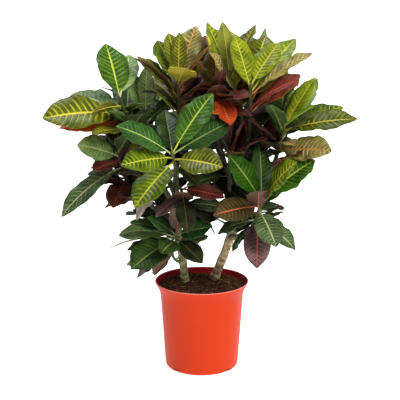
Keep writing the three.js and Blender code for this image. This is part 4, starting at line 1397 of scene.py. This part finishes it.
class LeafShader:
    """The three leaf materials. They take each leaf's colours from attributes painted on it."""

    COLOURS = ("blade", "patch", "vein", "rib", "under")
    CLOUDS = Pattern(32, 4, 0.6, 0.36, 0.64)
    FLECKS = Pattern(420, 3, 0.65, 0.55, 0.75, most=0.35)
    BLEEDING = Pattern(34, 4, 0.6, 0.38, 0.66, 0.05, 0.9)
    GLOSS = Pattern(90, least=0.3, most=0.42)
    UNDER_CLOUDS = Pattern(40, 4, low=0.35, high=0.65, most=0.5)
    RIB_SHADE = Pattern(160, most=0.3)
    BROKEN_VEINS = Pattern(70, 4, 0.65, 0.3, 0.58, 0.25)

    def upper(self) -> bpy.types.Material:
        """The glossy upper face, with its side veins and the colour that runs out of them.

        Returns:
            The material.
        """
        made = Shader("leaf_upper")
        blade, patch, vein, rib = (made.attribute(name, "Color") for name in self.COLOURS[:4])
        strength = made.attribute("strength")
        c, row = self._place(made)
        edge = made.math("ABSOLUTE", c)
        near, line = self._veins(made, c, row, edge)
        colour = made.mix(made.pattern(self.CLOUDS), blade, patch)
        colour = made.mix(made.pattern(self.FLECKS), colour, patch)
        run = made.rise(near, made.attribute("spread"), 0.0)
        patchy = made.times(made.pattern(self.BLEEDING), made.rise(edge, 0.9, 0.25, 0.35, 1))
        colour = made.mix(made.times(run, patchy, strength, clamp=True), colour, vein)
        network = made.rise(made.cells(330), 0.1, 0.0, 0, 0.28)
        colour = made.mix(made.times(network, strength, clamp=True), colour, vein)
        colour = made.mix(made.times(line, strength, clamp=True), colour, vein)
        middle = made.rise(edge, 0.09, 0.01)
        colour = made.mix(made.times(strength, 0.9, middle, clamp=True), colour, rib)
        height = made.math("ADD", made.times(line, -0.5), made.times(made.noise(650, 2), 0.35))
        normal = made.bump(height, 0.35, 0.0006)
        colour = self._toned_and_shaded(made, colour)
        return made.done(colour, made.pattern(self.GLOSS), normal, Specular_IOR_Level=0.24)

    def under(self) -> bpy.types.Material:
        """The dull lower face, on which the veins stand out paler.

        Returns:
            The material.
        """
        made = Shader("leaf_under")
        blade, vein, under = (made.attribute(name, "Color") for name in ("blade", "vein", "under"))
        c, row = self._place(made)
        _, line = self._veins(made, c, row, made.math("ABSOLUTE", c))
        colour = made.mix(made.pattern(self.UNDER_CLOUDS), under, blade)
        colour = made.mix(made.times(line, 0.6), colour, vein)
        height = made.math("ADD", line, made.times(made.noise(500, 2), 0.3))
        normal = made.bump(height, 0.4, 0.0006)
        return made.done(self._toned_and_shaded(made, colour), 0.56, normal, Specular_IOR_Level=0.4)

    def rib(self) -> bpy.types.Material:
        """The stalk and the midrib, greener towards the shoot.

        Returns:
            The material.
        """
        made = Shader("leaf_rib")
        patch, rib, under = (made.attribute(name, "Color") for name in ("patch", "rib", "under"))
        colour = made.mix(made.rise(made.attribute("along"), 0.2, 0.05, 0, 0.5), rib, under)
        colour = made.mix(made.pattern(self.RIB_SHADE), colour, patch)
        normal = made.bump(made.noise(900, 2), 0.15, 0.0005)
        return made.done(self._toned_and_shaded(made, colour), 0.42, normal, Specular_IOR_Level=0.5)

    def _place(self, made: Shader) -> tuple[Socket, Socket]:
        """Where on the blade a point is.

        Args:
            made: The shader that asks.

        Returns:
            The place across, from -1 to 1, and the row, from 0 at the foot to 1 at the tip.
        """
        spot = made.add("UVMap", "UV", {}, uv_map="blade_map")
        parts = made.add("SeparateXYZ", "X", {0: spot}).node.outputs
        return made.add("Math", 0, {0: parts["X"], 1: 2.0, 2: -1.0}, operation="MULTIPLY_ADD"), parts["Y"]

    def _veins(self, made: Shader, c: Socket, row: Socket, edge: Socket) -> tuple[Socket, Socket]:
        """The side veins.

        Args:
            made: The shader they are drawn in.
            c: Place across.
            row: Place along.
            edge: Distance from the midrib.

        Returns:
            The distance to the nearest vein, 0 to 0.5 of their spacing, and the vein's own line.
        """
        stray = made.times(made.math("SUBTRACT", made.noise(38, 3), 0.5), 0.035)
        right = made.times(made.math("GREATER_THAN", c, 0.0), 0.5)
        spacing = made.times(made.math("ADD", row, stray), float(VEIN_PAIRS))
        turn = made.math("FRACT", made.math("ADD", spacing, right))
        near = made.math("SUBTRACT", 0.5, made.math("ABSOLUTE", made.math("SUBTRACT", turn, 0.5)))
        width = made.rise(edge, 0.0, 0.9, 0.065, 0.02)
        line = made.rise(near, width, made.times(width, 0.25))
        return near, made.times(line, made.pattern(self.BROKEN_VEINS), made.rise(edge, 0.96, 0.6, 0.12, 1))

    def _toned_and_shaded(self, made: Shader, colour: Socket) -> Socket:
        """The colour, a little lighter or darker and warmer or cooler from leaf to leaf, and darker inside
        the crown by painted shade.

        Args:
            made: The shader that asks.
            colour: The leaf's colour.

        Returns:
            The toned colour with its painted shade.
        """
        # Painted shade: the leaf's random tone is multiplied by the darkening inside the crown
        value = made.times(made.attribute("tone"), made.painted_crown_shade())
        inputs = {"Color": colour, "Value": value, "Hue": made.attribute("hue")}
        return made.add("HueSaturation", "Color", inputs)


@dataclass
class Stem:
    """A main stem with its branches, as one piece: node swellings, oval leaf scars and thin creases.

    Lengths are in millimetres. scar_step and ring_step are the spacings of the leaf scars on the trunk and
    of the rings on a branch, the widths are how far along the stem each reaches, and scar_turn and
    knot_turn, in radians, how far round it.
    """

    trunk: Trunk
    scar_step: float = 17.0
    scar_width: float = 3.2
    scar_height: float = 0.9
    scar_turn: float = 0.55
    swelling_width: float = 1.6
    swelling_height: float = 0.35
    knot_share: float = 0.58
    knot_width: float = 9.0
    knot_height: float = 2.2
    knot_turn: float = 1.1
    ring_step: float = 13.0
    ring_width: float = 1.8
    ring_height: float = 0.3
    collar_share: float = 0.07
    collar_swell: float = 0.45
    thick: Rod = field(default_factory=lambda: Rod("trunk_mould", 28, 150))
    thin: Rod = field(default_factory=lambda: Rod("branch_mould", 12, 36))

    def build(self) -> bpy.types.Object:
        """Makes the stem's piece.

        Returns:
            The piece.
        """
        made = bmesh.new()
        self._trunk(made)
        for number, branch in enumerate(self.trunk.branches):
            self._branch(made, branch, number)
        material = self.trunk.finish.material(self.trunk.name + "_bark")
        return piece(self.trunk.name + "_wood", made, [material], (self.trunk.name,))

    def _trunk(self, made: bmesh.types.BMesh) -> None:
        """Adds the trunk itself.

        Args:
            made: The piece's bmesh.
        """
        route = Route.through(self.trunk.points)
        along, turn = self.thick.along, self.thick.turn
        height = along * route.length
        radius = lerp(*self.trunk.radii, along) * (1 + 0.05 * np.sin(along * 37))
        scars = np.zeros_like(along)
        for k in range(int(route.length / self.scar_step)):
            level = self.scar_step * (k + 0.6 + 0.3 * draw(k, Purpose.SCAR_LEVEL))
            facing = math.radians(SPIRAL_TURN * k) + 6 * draw(k, Purpose.SCAR_TURN)
            away = np.abs((turn - facing + np.pi) % (2 * np.pi) - np.pi)
            ring = self.swelling_height * bell(height - level, self.swelling_width)
            oval = self.scar_height * bell(height - level, self.scar_width) * bell(away, self.scar_turn)
            radius = radius + ring + oval
            scars = np.maximum(scars, np.maximum(oval, ring))
        grain = 0.22 * np.sin(turn * 7 + 0.09 * height) + 0.16 * np.sin(turn * 12 - 0.05 * height + 1)
        off_knot = height - self.knot_share * route.length
        knot = bell(off_knot, self.knot_width) * bell(turn - 1.0, self.knot_turn)
        self.thick.paint("scar", np.clip(scars, 0, 1))
        self.thick.paint("young", 0.5 * smooth_step(0.55, 1, along))
        self.thick.lay(made, route, radius + grain + self.knot_height * knot)

    def _branch(self, made: bmesh.types.BMesh, branch: Branch, number: int) -> None:
        """Adds a branch, thickened where it leaves the trunk.

        Args:
            made: The piece's bmesh.
            branch: The branch's row.
            number: Its number on the trunk.
        """
        route = Route.cubic(branch.points)
        along, turn = self.thin.along, self.thin.turn
        radius = lerp(*branch.radii, along) * (1 + self.collar_swell * bell(along, self.collar_share))
        height = along * route.length
        rings = np.zeros_like(along)
        for k in range(int(route.length / self.ring_step)):
            level = self.ring_step * (k + 0.5 + 0.4 * draw(number, k))
            rings = rings + bell(height - level, self.ring_width)
        grain = 0.12 * np.sin(turn * 5 + 0.1 * height)
        self.thin.paint("scar", np.clip(0.5 * rings, 0, 1))
        self.thin.paint("young", 0.35 + 0.65 * smooth_step(0.1, 0.7, along))
        self.thin.lay(made, route, radius + self.ring_height * rings + grain)


@dataclass
class Foliage:
    """All leafy shoots. Each is one piece that stands for the shoot's solid and keeps its leaves' places.

    number counts the large leaves that are made, matched those that lie on their solids, and inner the
    small ones. bud_length is in millimetres.
    """

    mould: LeafMould = field(default_factory=LeafMould)
    inner_mould: LeafMould = field(
        default_factory=lambda: LeafMould(INNER_COLUMNS, INNER_ROWS_PER_VEIN, INNER_RIB_ROWS))
    twig: Rod = field(default_factory=lambda: Rod("twig_mould", 10, 16))
    # The shoots' skin is green-brown young wood, made darker as painted shade of the crown's inside
    skin: BarkFinish = BarkFinish((84, 86, 46), (66, 72, 36), (50, 46, 28), (132, 122, 84), (82, 86, 44))
    bud_length: float = 9.0
    number: int = 0
    matched: int = 0
    inner: int = 0

    def build(self) -> list[bpy.types.Object]:
        """Makes every shoot's piece.

        Returns:
            The pieces.
        """
        shader = LeafShader()
        finishes = [shader.upper(), shader.under(), shader.rib(), self.skin.material("shoot_skin")]
        branches = {branch.name: branch for trunk in (LEFT_TRUNK, RIGHT_TRUNK) for branch in trunk.branches}
        made = [self._shoot(shoot, branches[shoot.name], finishes) for shoot in (*SHOOTS, *SPIRALS)]
        LOG.info("%d of %d leaves on their solids, %d inner leaves", self.matched, self.number, self.inner)
        return made

    def _axis(self, branch: Branch, crown: Point) -> Callable[[float], Vector]:
        """The line of a shoot, which leaves its branch in the branch's direction.

        Args:
            branch: The branch that it grows on from.
            crown: Its upper end.

        Returns:
            The point at each share of the way from its foot to its crown.
        """
        end, before = Vector(branch.points[3]), Vector(branch.points[2])
        way = (end - before).normalized()
        foot = end + way * FIT_GAP
        top = Vector(crown)
        middle = foot + way * SHOOT_BOW * (foot - top).length

        def at(share: float) -> Vector:
            """The point at this share of the way."""
            rest = 1 - share
            return foot * rest * rest + middle * (2 * rest * share) + top * share * share

        return at

    def _spiral_rows(self, spiral: Spiral, axis: Callable[[float], Vector]) -> list[LeafRow]:
        """The leaves of a shoot that carries them in a rising spiral.

        Args:
            spiral: The shoot's row.
            axis: Its line.

        Returns:
            The leaves' rows.
        """
        rows = []
        for i, tint in enumerate(spiral.tints):
            share = i / (len(spiral.tints) - 1)
            station = lerp(*SPIRAL_STATIONS, share)
            out = heading(spiral.first + SPIRAL_TURN * i, lerp(*SPIRAL_RISE, share))
            tip = axis(station) + out * spiral.reach * lerp(*SPIRAL_REACH, share)
            rows.append(leaf(station, tuple(tip), lerp(*SPIRAL_ARCH, share), 0, SPIRAL_RATIO, tint))
        return rows

    def _filler_rows(self, name: str, base: Callable[[float], Vector]) -> list[LeafRow]:
        """The small leaves inside the crown, in a spiral that rises along a branch and its shoot.

        Args:
            name: The shoot's name.
            base: The point at each station of the shoot and its branch.

        Returns:
            The leaves' rows.
        """
        count, tints = FILLERS.get(name, (0, ()))
        rows = []
        for i in range(count):
            number = FILLER_SPACING * list(FILLERS).index(name) + i
            station = lerp(*FILLER_STATIONS, (i + 0.5) / count)
            turn = FILLER_FIRST_TURN + SPIRAL_TURN * number
            out = heading(turn, lerp(*FILLER_RISE, draw(number, Purpose.RISE)))
            tip = base(station) + out * lerp(*FILLER_REACH, draw(number, Purpose.REACH))
            arch = lerp(*FILLER_ARCH, draw(number, Purpose.ARCH))
            roll = lerp(*FILLER_ROLL, draw(number, Purpose.ROLL))
            ratio = lerp(*FILLER_RATIO, draw(number, Purpose.RATIO))
            rows.append(leaf(station, tuple(tip), arch, roll, ratio, tints[i % len(tints)]))
        return rows

    def _shoot(self, shoot: Shoot | Spiral, branch: Branch,
               finishes: list[bpy.types.Material]) -> bpy.types.Object:
        """Makes one shoot's piece.

        Args:
            shoot: Its row.
            branch: The branch that it grows on from.
            finishes: The materials of upper face, lower face, rib and skin.

        Returns:
            The piece.
        """
        node = "shoot_" + shoot.name
        axis = self._axis(branch, shoot.crown)
        rows = self._spiral_rows(shoot, axis) if isinstance(shoot, Spiral) else shoot.leaves
        tree = self._corners(node)
        made = bmesh.new()
        self._twig(made, axis, branch.radii[1])
        for row in rows:
            form = self._form(row, axis(row.station), tree)
            self._leaf(made, self.mould, form, row.tint)
            self.number += 1
        wood = Route.cubic(branch.points)

        def base(station: float) -> Vector:
            """Where a leaf at this station grows, on the shoot or, below 0, on its branch."""
            return axis(station) if station > 0 else Vector(wood.at(np.array([1 + station]))[0])

        for row in (*SMALL_LEAVES.get(shoot.name, ()), *self._filler_rows(shoot.name, base)):
            number = INNER_FIRST_NUMBER + self.inner
            form = LeafForm(number, base(row.station), Vector(row.tip), row.arch, row.roll, row.ratio)
            self._leaf(made, self.inner_mould, form, row.tint)
            self.inner += 1
        return piece("foliage_" + shoot.name, made, finishes, (node,))

    def _corners(self, node: str) -> kdtree.KDTree:
        """The corners of a solid, to be searched.

        Args:
            node: The solid's name.

        Returns:
            The search tree, in millimetres.
        """
        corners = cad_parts[node].data.vertices
        tree = kdtree.KDTree(len(corners))
        for i, corner in enumerate(corners):
            tree.insert(corner.co / MM, i)
        tree.balance()
        return tree

    def _form(self, row: LeafRow, base: Vector, tree: kdtree.KDTree) -> LeafForm:
        """The leaf's form with the bend that puts its tip on the solid's tip.

        Args:
            row: The leaf's row.
            base: Where its stalk leaves the shoot.
            tree: The corners of the shoot's solid, in millimetres.

        Returns:
            The form.
        """
        end = np.array([1.0])
        for bend in BENDS:
            form = LeafForm.bent(self.number, row, base, bend)
            place, upward, _ = form.spine(end)
            corner = Vector(place[0] + upward[0] * BLADE_THICKNESS / 2)
            if tree.find(corner)[2] < TIP_MATCH:
                self.matched += 1
                return form
        LOG.info("leaf %d keeps its row's own tip", self.number)
        return LeafForm.bent(self.number, row, base, BENDS[0])

    def _leaf(self, made: bmesh.types.BMesh, mould: LeafMould, form: LeafForm, tint: Tint) -> None:
        """Adds a leaf in its colours, each leaf a little apart from its neighbours.

        Args:
            made: The piece's bmesh.
            mould: The mould that it is bent from.
            form: Its form.
            tint: Its colour.
        """
        finish = LEAF_FINISHES[tint]
        for name in LeafShader.COLOURS:
            mould.tint(name, getattr(finish, name))
        for name, whole, ends, purpose in (
            ("strength", finish.strength, (0.85, 1.15), Purpose.VEIN_STRENGTH),
            ("spread", finish.spread, (0.8, 1.25), Purpose.VEIN_SPREAD),
            ("tone", 1.0, (0.9, 1.12), Purpose.TONE),
            ("hue", 1.0, (0.49, 0.51), Purpose.HUE),
        ):
            mould.paint(name, whole * lerp(*ends, draw(form.number, purpose)))
        mould.paint("along", np.where(mould.on_rib, mould.coords[:, 2] - RIB_FOOT, 1.0))
        mould.bend(made, form)

    def _twig(self, made: bmesh.types.BMesh, axis: Callable[[float], Vector], thick: float) -> None:
        """Adds the shoot's own stem with a pointed bud at its crown.

        Args:
            made: The piece's bmesh.
            axis: The shoot's line.
            thick: Its radius at the foot.
        """
        points = [axis(i / 40) for i in range(41)]
        points.insert(0, points[0] * 2 - points[1])
        ahead = (points[-1] - points[-2]).normalized()
        points += [points[-1] + ahead * 4, points[-1] + ahead * self.bud_length]
        route = Route(points)
        along = self.twig.along
        crown = 1 - self.bud_length / route.length
        bud = np.sqrt(np.clip(1 - ((along - crown) / (1 - crown)) ** 2, 0.01, 1))
        radius = thick * (1 + (SHOOT_TAPER - 1) * along) * np.where(along > crown, bud, 1)
        self.twig.paint("young", 0.8)
        self.twig.paint("scar", 0.3 * (0.5 + 0.5 * np.sin(along * 55)) ** 4)
        for face in self.twig.mesh.polygons:
            face.material_index = 3
        self.twig.lay(made, route, radius)


@dataclass
class Pot:
    """The nursery pot: one moulded wall with a flared rim, a rounded lip and a notched foot."""

    steps: int = 160
    shell: Rgb = (188, 50, 11)
    shade: Rgb = (180, 46, 9)
    # lip is the colour of a painted highlight along the top of the rounded lip; the fine scuffs are tinted
    # with it too
    lip: Rgb = (232, 132, 118)
    # inside is the inner wall's colour, darker and more crimson than the shell: painted shade inside the pot
    inside: Rgb = (146, 18, 30)
    clouds: Pattern = Pattern(9, low=0.35, high=0.65, most=0.35)
    scuff_stretch: Point = (90, 90, 900)

    def build(self) -> bpy.types.Object:
        """Makes the pot's piece.

        Returns:
            The piece.
        """
        made = spun(self._outline(), self.steps)
        for face in made.faces:
            middle = face.calc_center_median()
            inward = face.normal.x * middle.x + face.normal.y * middle.y < 0
            face.material_index = 1 if inward and middle.z < (POT_HEIGHT - 1) * MM else 0
        outer = self._finish("pot_plastic", self.shell, self.shade)
        # The inner wall gets its own darker colour as painted shade
        inner = self._finish("pot_inside_painted_shade", self.inside, self.inside)
        pot = piece("pot_shell", made, [outer, inner], ("pot",))
        self._notch(pot)
        return pot

    def _outline(self) -> Outline:
        """The section of the wall.

        Returns:
            Radius and height, from the middle of the bottom round to the middle of the floor.
        """
        outer = [(0, 0), (30, 0), (FOOT_RADIUS - 12, 0), *arc((FOOT_RADIUS - 9, 9), 8.8, -80, -10, 7)]
        outer += [(lerp(FOOT_RADIUS, NECK_RADIUS, i / 8), lerp(9.5, NECK_HEIGHT, i / 8)) for i in range(9)]
        flare = [(NECK_RADIUS + 0.5, NECK_HEIGHT + 3), (NECK_RADIUS + 1.5, NECK_HEIGHT + 7),
                 (NECK_RADIUS + 3, NECK_HEIGHT + 11.5), (NECK_RADIUS + 5.4, NECK_HEIGHT + 17),
                 (RIM_RADIUS - 3.6, POT_HEIGHT - 9.2), (RIM_RADIUS - 1.4, POT_HEIGHT - 5)]
        lip = arc((RIM_RADIUS - 1.6, POT_HEIGHT - 1.7), 1.6, -20, 200, 10)
        inner = [(RIM_RADIUS - 4.2, POT_HEIGHT - 5), (RIM_RADIUS - 6.2, POT_HEIGHT - 9.6),
                 (NECK_RADIUS + 1, NECK_HEIGHT + 10), (NECK_RADIUS - 1, NECK_HEIGHT + 3),
                 (NECK_RADIUS - WALL, NECK_HEIGHT - 1), (FOOT_RADIUS - WALL, 9),
                 (FOOT_RADIUS - 6, FLOOR), (0, FLOOR)]
        return outer + flare + lip + inner

    def _notch(self, pot: bpy.types.Object) -> None:
        """Cuts the drainage notches out of the foot.

        Args:
            pot: The pot's piece.
        """
        made = bmesh.new()
        size = Matrix.Diagonal((*(s * MM for s in NOTCH_SIZE), 1))
        for turn in NOTCH_TURNS:
            place = Matrix.Rotation(math.radians(turn), 4, "Z") @ Matrix.Translation((FOOT_RADIUS * MM, 0, 0))
            cut = bmesh.ops.create_cube(made, size=1, matrix=place @ size)
            own = set(cut["verts"])
            edges = [edge for edge in made.edges if edge.verts[0] in own]
            bmesh.ops.bevel(made, geom=edges, offset=NOTCH_ROUND * MM, affect="EDGES", segments=3,
                            profile=0.5, material=-1)
        cutter = add_object("notch_cutter", mesh_from("notch_cutter", made))
        cut_away = pot.modifiers.new("notches", "BOOLEAN")
        cut_away.operation = "DIFFERENCE"
        cut_away.solver = "EXACT"
        cut_away.object = cutter
        finished = bpy.data.meshes.new_from_object(pot.evaluated_get(bpy.context.evaluated_depsgraph_get()))
        pot.modifiers.clear()
        pot.data = finished
        finished.name = "pot_shell"
        bpy.data.objects.remove(cutter)

    def _finish(self, name: str, shell: Rgb, shade: Rgb) -> bpy.types.Material:
        """Satin moulded plastic with faint flow clouds, fine pale scuffs and a painted highlight along the
        lip.

        Args:
            name: The material's name.
            shell: Its main colour.
            shade: The colour of the clouds in it.

        Returns:
            The material.
        """
        made = Shader(name)
        colour = made.mix(made.pattern(self.clouds), linear(shell), linear(shade))
        scuff = made.noise(1.0, 4, 0.7, made.stretched(self.scuff_stretch))
        colour = made.mix(made.rise(scuff, 0.62, 0.78, 0, 0.12), colour, linear(self.lip))
        # Painted highlight: along the top of the lip the colour turns most of the way to the pale lip colour
        rim = made.rise(made.height(), (POT_HEIGHT - 2.6) * MM, (POT_HEIGHT - 1.2) * MM, 0, 0.8)
        colour = made.mix(rim, colour, linear(self.lip))
        ripple = made.math("ADD", made.times(made.noise(24, 2), 2.0), made.noise(1500, 2))
        gloss = made.rise(scuff, 0.3, 0.7, 0.4, 0.5)
        return made.done(colour, gloss, made.bump(ripple, 0.12, 0.0004), Specular_IOR_Level=0.12)


@dataclass
class Soil:
    """Potting soil: an uneven crumbly surface with loose crumbs, bark chips and fibres on it."""

    steps: int = 140
    rings: int = 46
    crumbs: int = 760
    chips: int = 120
    fibres: int = 60
    fibre_radius: float = 0.35
    peat: Rgb = (42, 25, 15)
    loam: Rgb = (98, 64, 40)
    straw: Rgb = (150, 116, 78)
    damp_crumb: Rgb = (54, 33, 21)
    dry_crumb: Rgb = (112, 78, 52)
    bark_chip: Rgb = (92, 62, 40)
    clouds: Pattern = Pattern(110, 6, 0.75, 0.42, 0.62)
    pale_grains: Pattern = Pattern(700, 2, 0.5, 0.68, 0.76, most=0.6)

    def build(self) -> list[bpy.types.Object]:
        """Makes the soil's pieces.

        Returns:
            The pieces.
        """
        noise.seed_set(NOISE_SEED)
        ground = self._finish("soil_ground", self.peat, self.loam)
        crumb = self._finish("soil_crumb", self.damp_crumb, self.dry_crumb)
        chip = self._finish("soil_chip", self.bark_chip, self.straw)
        return [
            piece("soil_ground", self._ground(), [ground], ("soil",)),
            piece("soil_crumbs", self._crumbs(), [crumb]),
            piece("soil_chips", self._chips(), [chip]),
            piece("soil_fibres", self._fibres(), [chip]),
        ]

    def _height(self, x: float, y: float) -> float:
        """The surface's height.

        Args:
            x: The place across the pot, in millimetres.
            y: The place from front to back.

        Returns:
            The height there, in millimetres.
        """
        reach = math.hypot(x, y)
        past = max(0.0, reach - SOIL_SHOULDER)
        level = SOIL_LEVEL + 2 - 0.5 * (min(reach, SOIL_SHOULDER) / 35) ** 1.4 - 0.33 * past
        calm = 1 - 0.6 * past / (SOIL_RADIUS - SOIL_SHOULDER)
        broad = math.sin(x * 0.045 + 1.1) * math.cos(y * 0.05 - 0.4)
        fine = math.sin(x * 0.13 + y * 0.09) * math.cos(y * 0.15 - x * 0.05)
        lumps = 1.5 * noise.fractal((x / 7, y / 7, 3.1), 0.7, 2.1, 4)
        return level + (SOIL_RELIEF * (0.55 * broad + 0.45 * fine) + lumps) * calm

    def _spread(self, count: int, purpose: int) -> list[tuple[float, float, float, int]]:
        """Repeatable places on the surface.

        Args:
            count: How many.
            purpose: The first of the two purposes they are drawn for.

        Returns:
            Across, back and up in millimetres for each, and the item's number.
        """
        places = []
        for i in range(count):
            reach = (SOIL_RADIUS - 2) * math.sqrt(draw(i, purpose))
            turn = 2 * math.pi * draw(i, purpose + 1)
            x, y = reach * math.cos(turn), reach * math.sin(turn)
            places.append((x, y, self._height(x, y), i))
        return places

    def _ground(self) -> bmesh.types.BMesh:
        """The body of soil with its uneven top.

        Returns:
            The bmesh.
        """
        outline = [(0, FLOOR + 0.4), (FOOT_RADIUS - 7, FLOOR + 0.4), (FOOT_RADIUS - WALL - 0.6, 9),
                   (NECK_RADIUS - WALL - 0.5, NECK_HEIGHT - 1), (NECK_RADIUS + 0.6, NECK_HEIGHT + 10)]
        outline += [(SOIL_RADIUS * (1 - i / self.rings), SOIL_LEVEL) for i in range(self.rings + 1)]
        made = spun(outline, self.steps)
        for vert in made.verts:
            if vert.co.z > (SOIL_LEVEL - 1) * MM:
                vert.co.z = self._height(vert.co.x / MM, vert.co.y / MM) * MM
        return made

    def _lump(self, made: bmesh.types.BMesh, place: Point, size: Point, number: int) -> None:
        """Adds one small angular lump, turned its own way.

        Args:
            made: The piece's bmesh.
            place: Its middle.
            size: Its half sizes.
            number: Its number, for the draws.
        """
        turn = Matrix.Rotation(6.28 * draw(number, Purpose.LUMP_TURN), 4, "Z")
        tilt = Matrix.Rotation(1.2 * draw(number, Purpose.LUMP_TILT), 4, "X")
        grown = Matrix.Diagonal((*(s * MM for s in size), 1))
        matrix = Matrix.Translation(Vector(place) * MM) @ turn @ tilt @ grown
        lump = bmesh.ops.create_icosphere(made, subdivisions=1, radius=1, matrix=matrix)
        for vert in lump["verts"]:
            vert.co += noise.noise_vector(vert.co * 900) * min(size) * 0.35 * MM

    def _crumbs(self) -> bmesh.types.BMesh:
        """Loose crumbs of peat.

        Returns:
            The bmesh.
        """
        made = bmesh.new()
        for x, y, z, i in self._spread(self.crumbs, Purpose.CRUMB_PLACE):
            size = lerp(0.7, 3.0, draw(i, Purpose.CRUMB_SIZE) ** 3)
            narrow = size * lerp(0.6, 1, draw(i, Purpose.CRUMB_WIDTH))
            self._lump(made, (x, y, z + 0.3 * size), (size, narrow, size * 0.7), i)
        return made

    def _chips(self) -> bmesh.types.BMesh:
        """Flat chips of bark.

        Returns:
            The bmesh.
        """
        made = bmesh.new()
        for x, y, z, i in self._spread(self.chips, Purpose.CHIP_PLACE):
            size = lerp(1.6, 4.6, draw(i, Purpose.CHIP_SIZE) ** 2)
            self._lump(made, (x, y, z + 0.5), (size, size * 0.55, 0.8), i + 900)
        return made

    def _fibres(self) -> bmesh.types.BMesh:
        """Thin bent fibres and dry roots.

        Returns:
            The bmesh.
        """
        made = bmesh.new()
        rod = Rod("fibre_mould", 5, 6)
        up = Vector((0, 0, 1))
        for x, y, z, i in self._spread(self.fibres, Purpose.FIBRE_PLACE):
            turn = 2 * math.pi * draw(i, Purpose.FIBRE_TURN)
            half = Vector((math.cos(turn), math.sin(turn), 0)) * lerp(3, 9, draw(i, Purpose.FIBRE_LENGTH))
            middle = Vector((x, y, z + 1.4))
            bowed = middle + half.cross(up) * lerp(-0.5, 0.5, draw(i, Purpose.FIBRE_BOW))
            ends = (middle - half - up, middle + half - up)
            points = tuple(tuple(p) for p in (ends[0], bowed, bowed, ends[1]))
            rod.lay(made, Route.cubic(points, 12), np.full(len(rod.along), self.fibre_radius))
        return made

    def _finish(self, name: str, dark: Rgb, light: Rgb) -> bpy.types.Material:
        """Dull soil of two mixed tones.

        Args:
            name: The material's name.
            dark: The darker tone.
            light: The lighter tone.

        Returns:
            The material.
        """
        made = Shader(name)
        colour = made.mix(made.pattern(self.clouds), linear(dark), linear(light))
        colour = made.mix(made.pattern(self.pale_grains), colour, linear(self.straw))
        normal = made.bump(made.noise(900, 5, 0.7), 0.8, 0.0012)
        return made.done(colour, 0.93, normal, Specular_IOR_Level=0.2)


@dataclass(frozen=True)
class SoftLight:
    """A plain soft studio light that faces the plant: a square panel, or a far one that lights all alike.

    size is a panel's width in metres, or the angle in degrees that a far light spans.
    """

    name: str
    place: Point
    size: float
    power: float
    colour: Point = (1.0, 1.0, 1.0)
    far: bool = False
    mirrored: bool = True

    def build(self) -> None:
        """Adds the light."""
        light = bpy.data.lights.new(self.name, "SUN" if self.far else "AREA")
        light.energy = self.power
        light.color = self.colour
        if self.far:
            light.angle = math.radians(self.size)
        else:
            light.shape = "SQUARE"
            light.size = self.size
        made = add_object(self.name, light)
        made.location = self.place
        made.visible_glossy = self.mirrored
        made.rotation_euler = (Vector(LIT_PLACE) - Vector(self.place)).to_track_quat("-Z", "Y").to_euler()


@dataclass
class Studio:
    """The photograph's camera, a pale floor and soft light from all round, stronger from the right."""

    daylight: float = 0.24
    glow: float = 0.7
    floor_half: float = 90.0
    lights: tuple[SoftLight, ...] = (
        SoftLight("key_light", (1.9, -1.8, 2.7), 38, 3.5, far=True, mirrored=False),
        SoftLight("top_light", (-0.5, 0.5, 2.4), 1.3, 26, (0.88, 0.95, 1.0)),
        SoftLight("fill_light", (-2.2, -1.6, 1.1), 1.6, 6),
    )

    def build(self) -> None:
        """Makes the camera, the floor and the lights."""
        self._camera()
        self._floor()
        world = bpy.data.worlds.new("studio_white")
        world.use_nodes = True
        background = world.node_tree.nodes["Background"]
        background.inputs["Color"].default_value = (1, 1, 1, 1)
        background.inputs["Strength"].default_value = self.daylight
        bpy.context.scene.world = world
        for light in self.lights:
            light.build()
        bpy.context.scene.view_settings.view_transform = "Standard"

    def _camera(self) -> None:
        """Places the camera at the photograph's viewpoint."""
        camera = bpy.data.cameras.new("camera")
        camera.lens = CAMERA_LENS
        camera.sensor_width = SENSOR_WIDTH
        made = add_object("camera", camera)
        made.location = CAMERA_PLACE
        made.rotation_euler = (math.pi / 2 - CAMERA_PITCH, 0, 0)
        bpy.context.scene.camera = made

    def _floor(self) -> None:
        """Lays the plain pale floor."""
        made = bmesh.new()
        bmesh.ops.create_grid(made, x_segments=1, y_segments=1, size=self.floor_half)
        mesh = mesh_from("floor", made)
        shader = Shader("floor_white")
        colour = shader.mix(shader.noise(2), (0.95, 0.95, 0.95, 1), (0.93, 0.93, 0.93, 1))
        mesh.materials.append(shader.done(colour, 0.9, Specular_IOR_Level=0.1, Emission_Strength=self.glow))
        add_object("floor", mesh)


def main() -> None:
    """Builds the studio and the plant's pieces in order."""
    logging.basicConfig(level=logging.INFO, format="%(message)s")
    Studio().build()
    Pot().build()
    Soil().build()
    for trunk in (LEFT_TRUNK, RIGHT_TRUNK):
        Stem(trunk).build()
    Foliage().build()


if __name__ == "__main__":
    main()
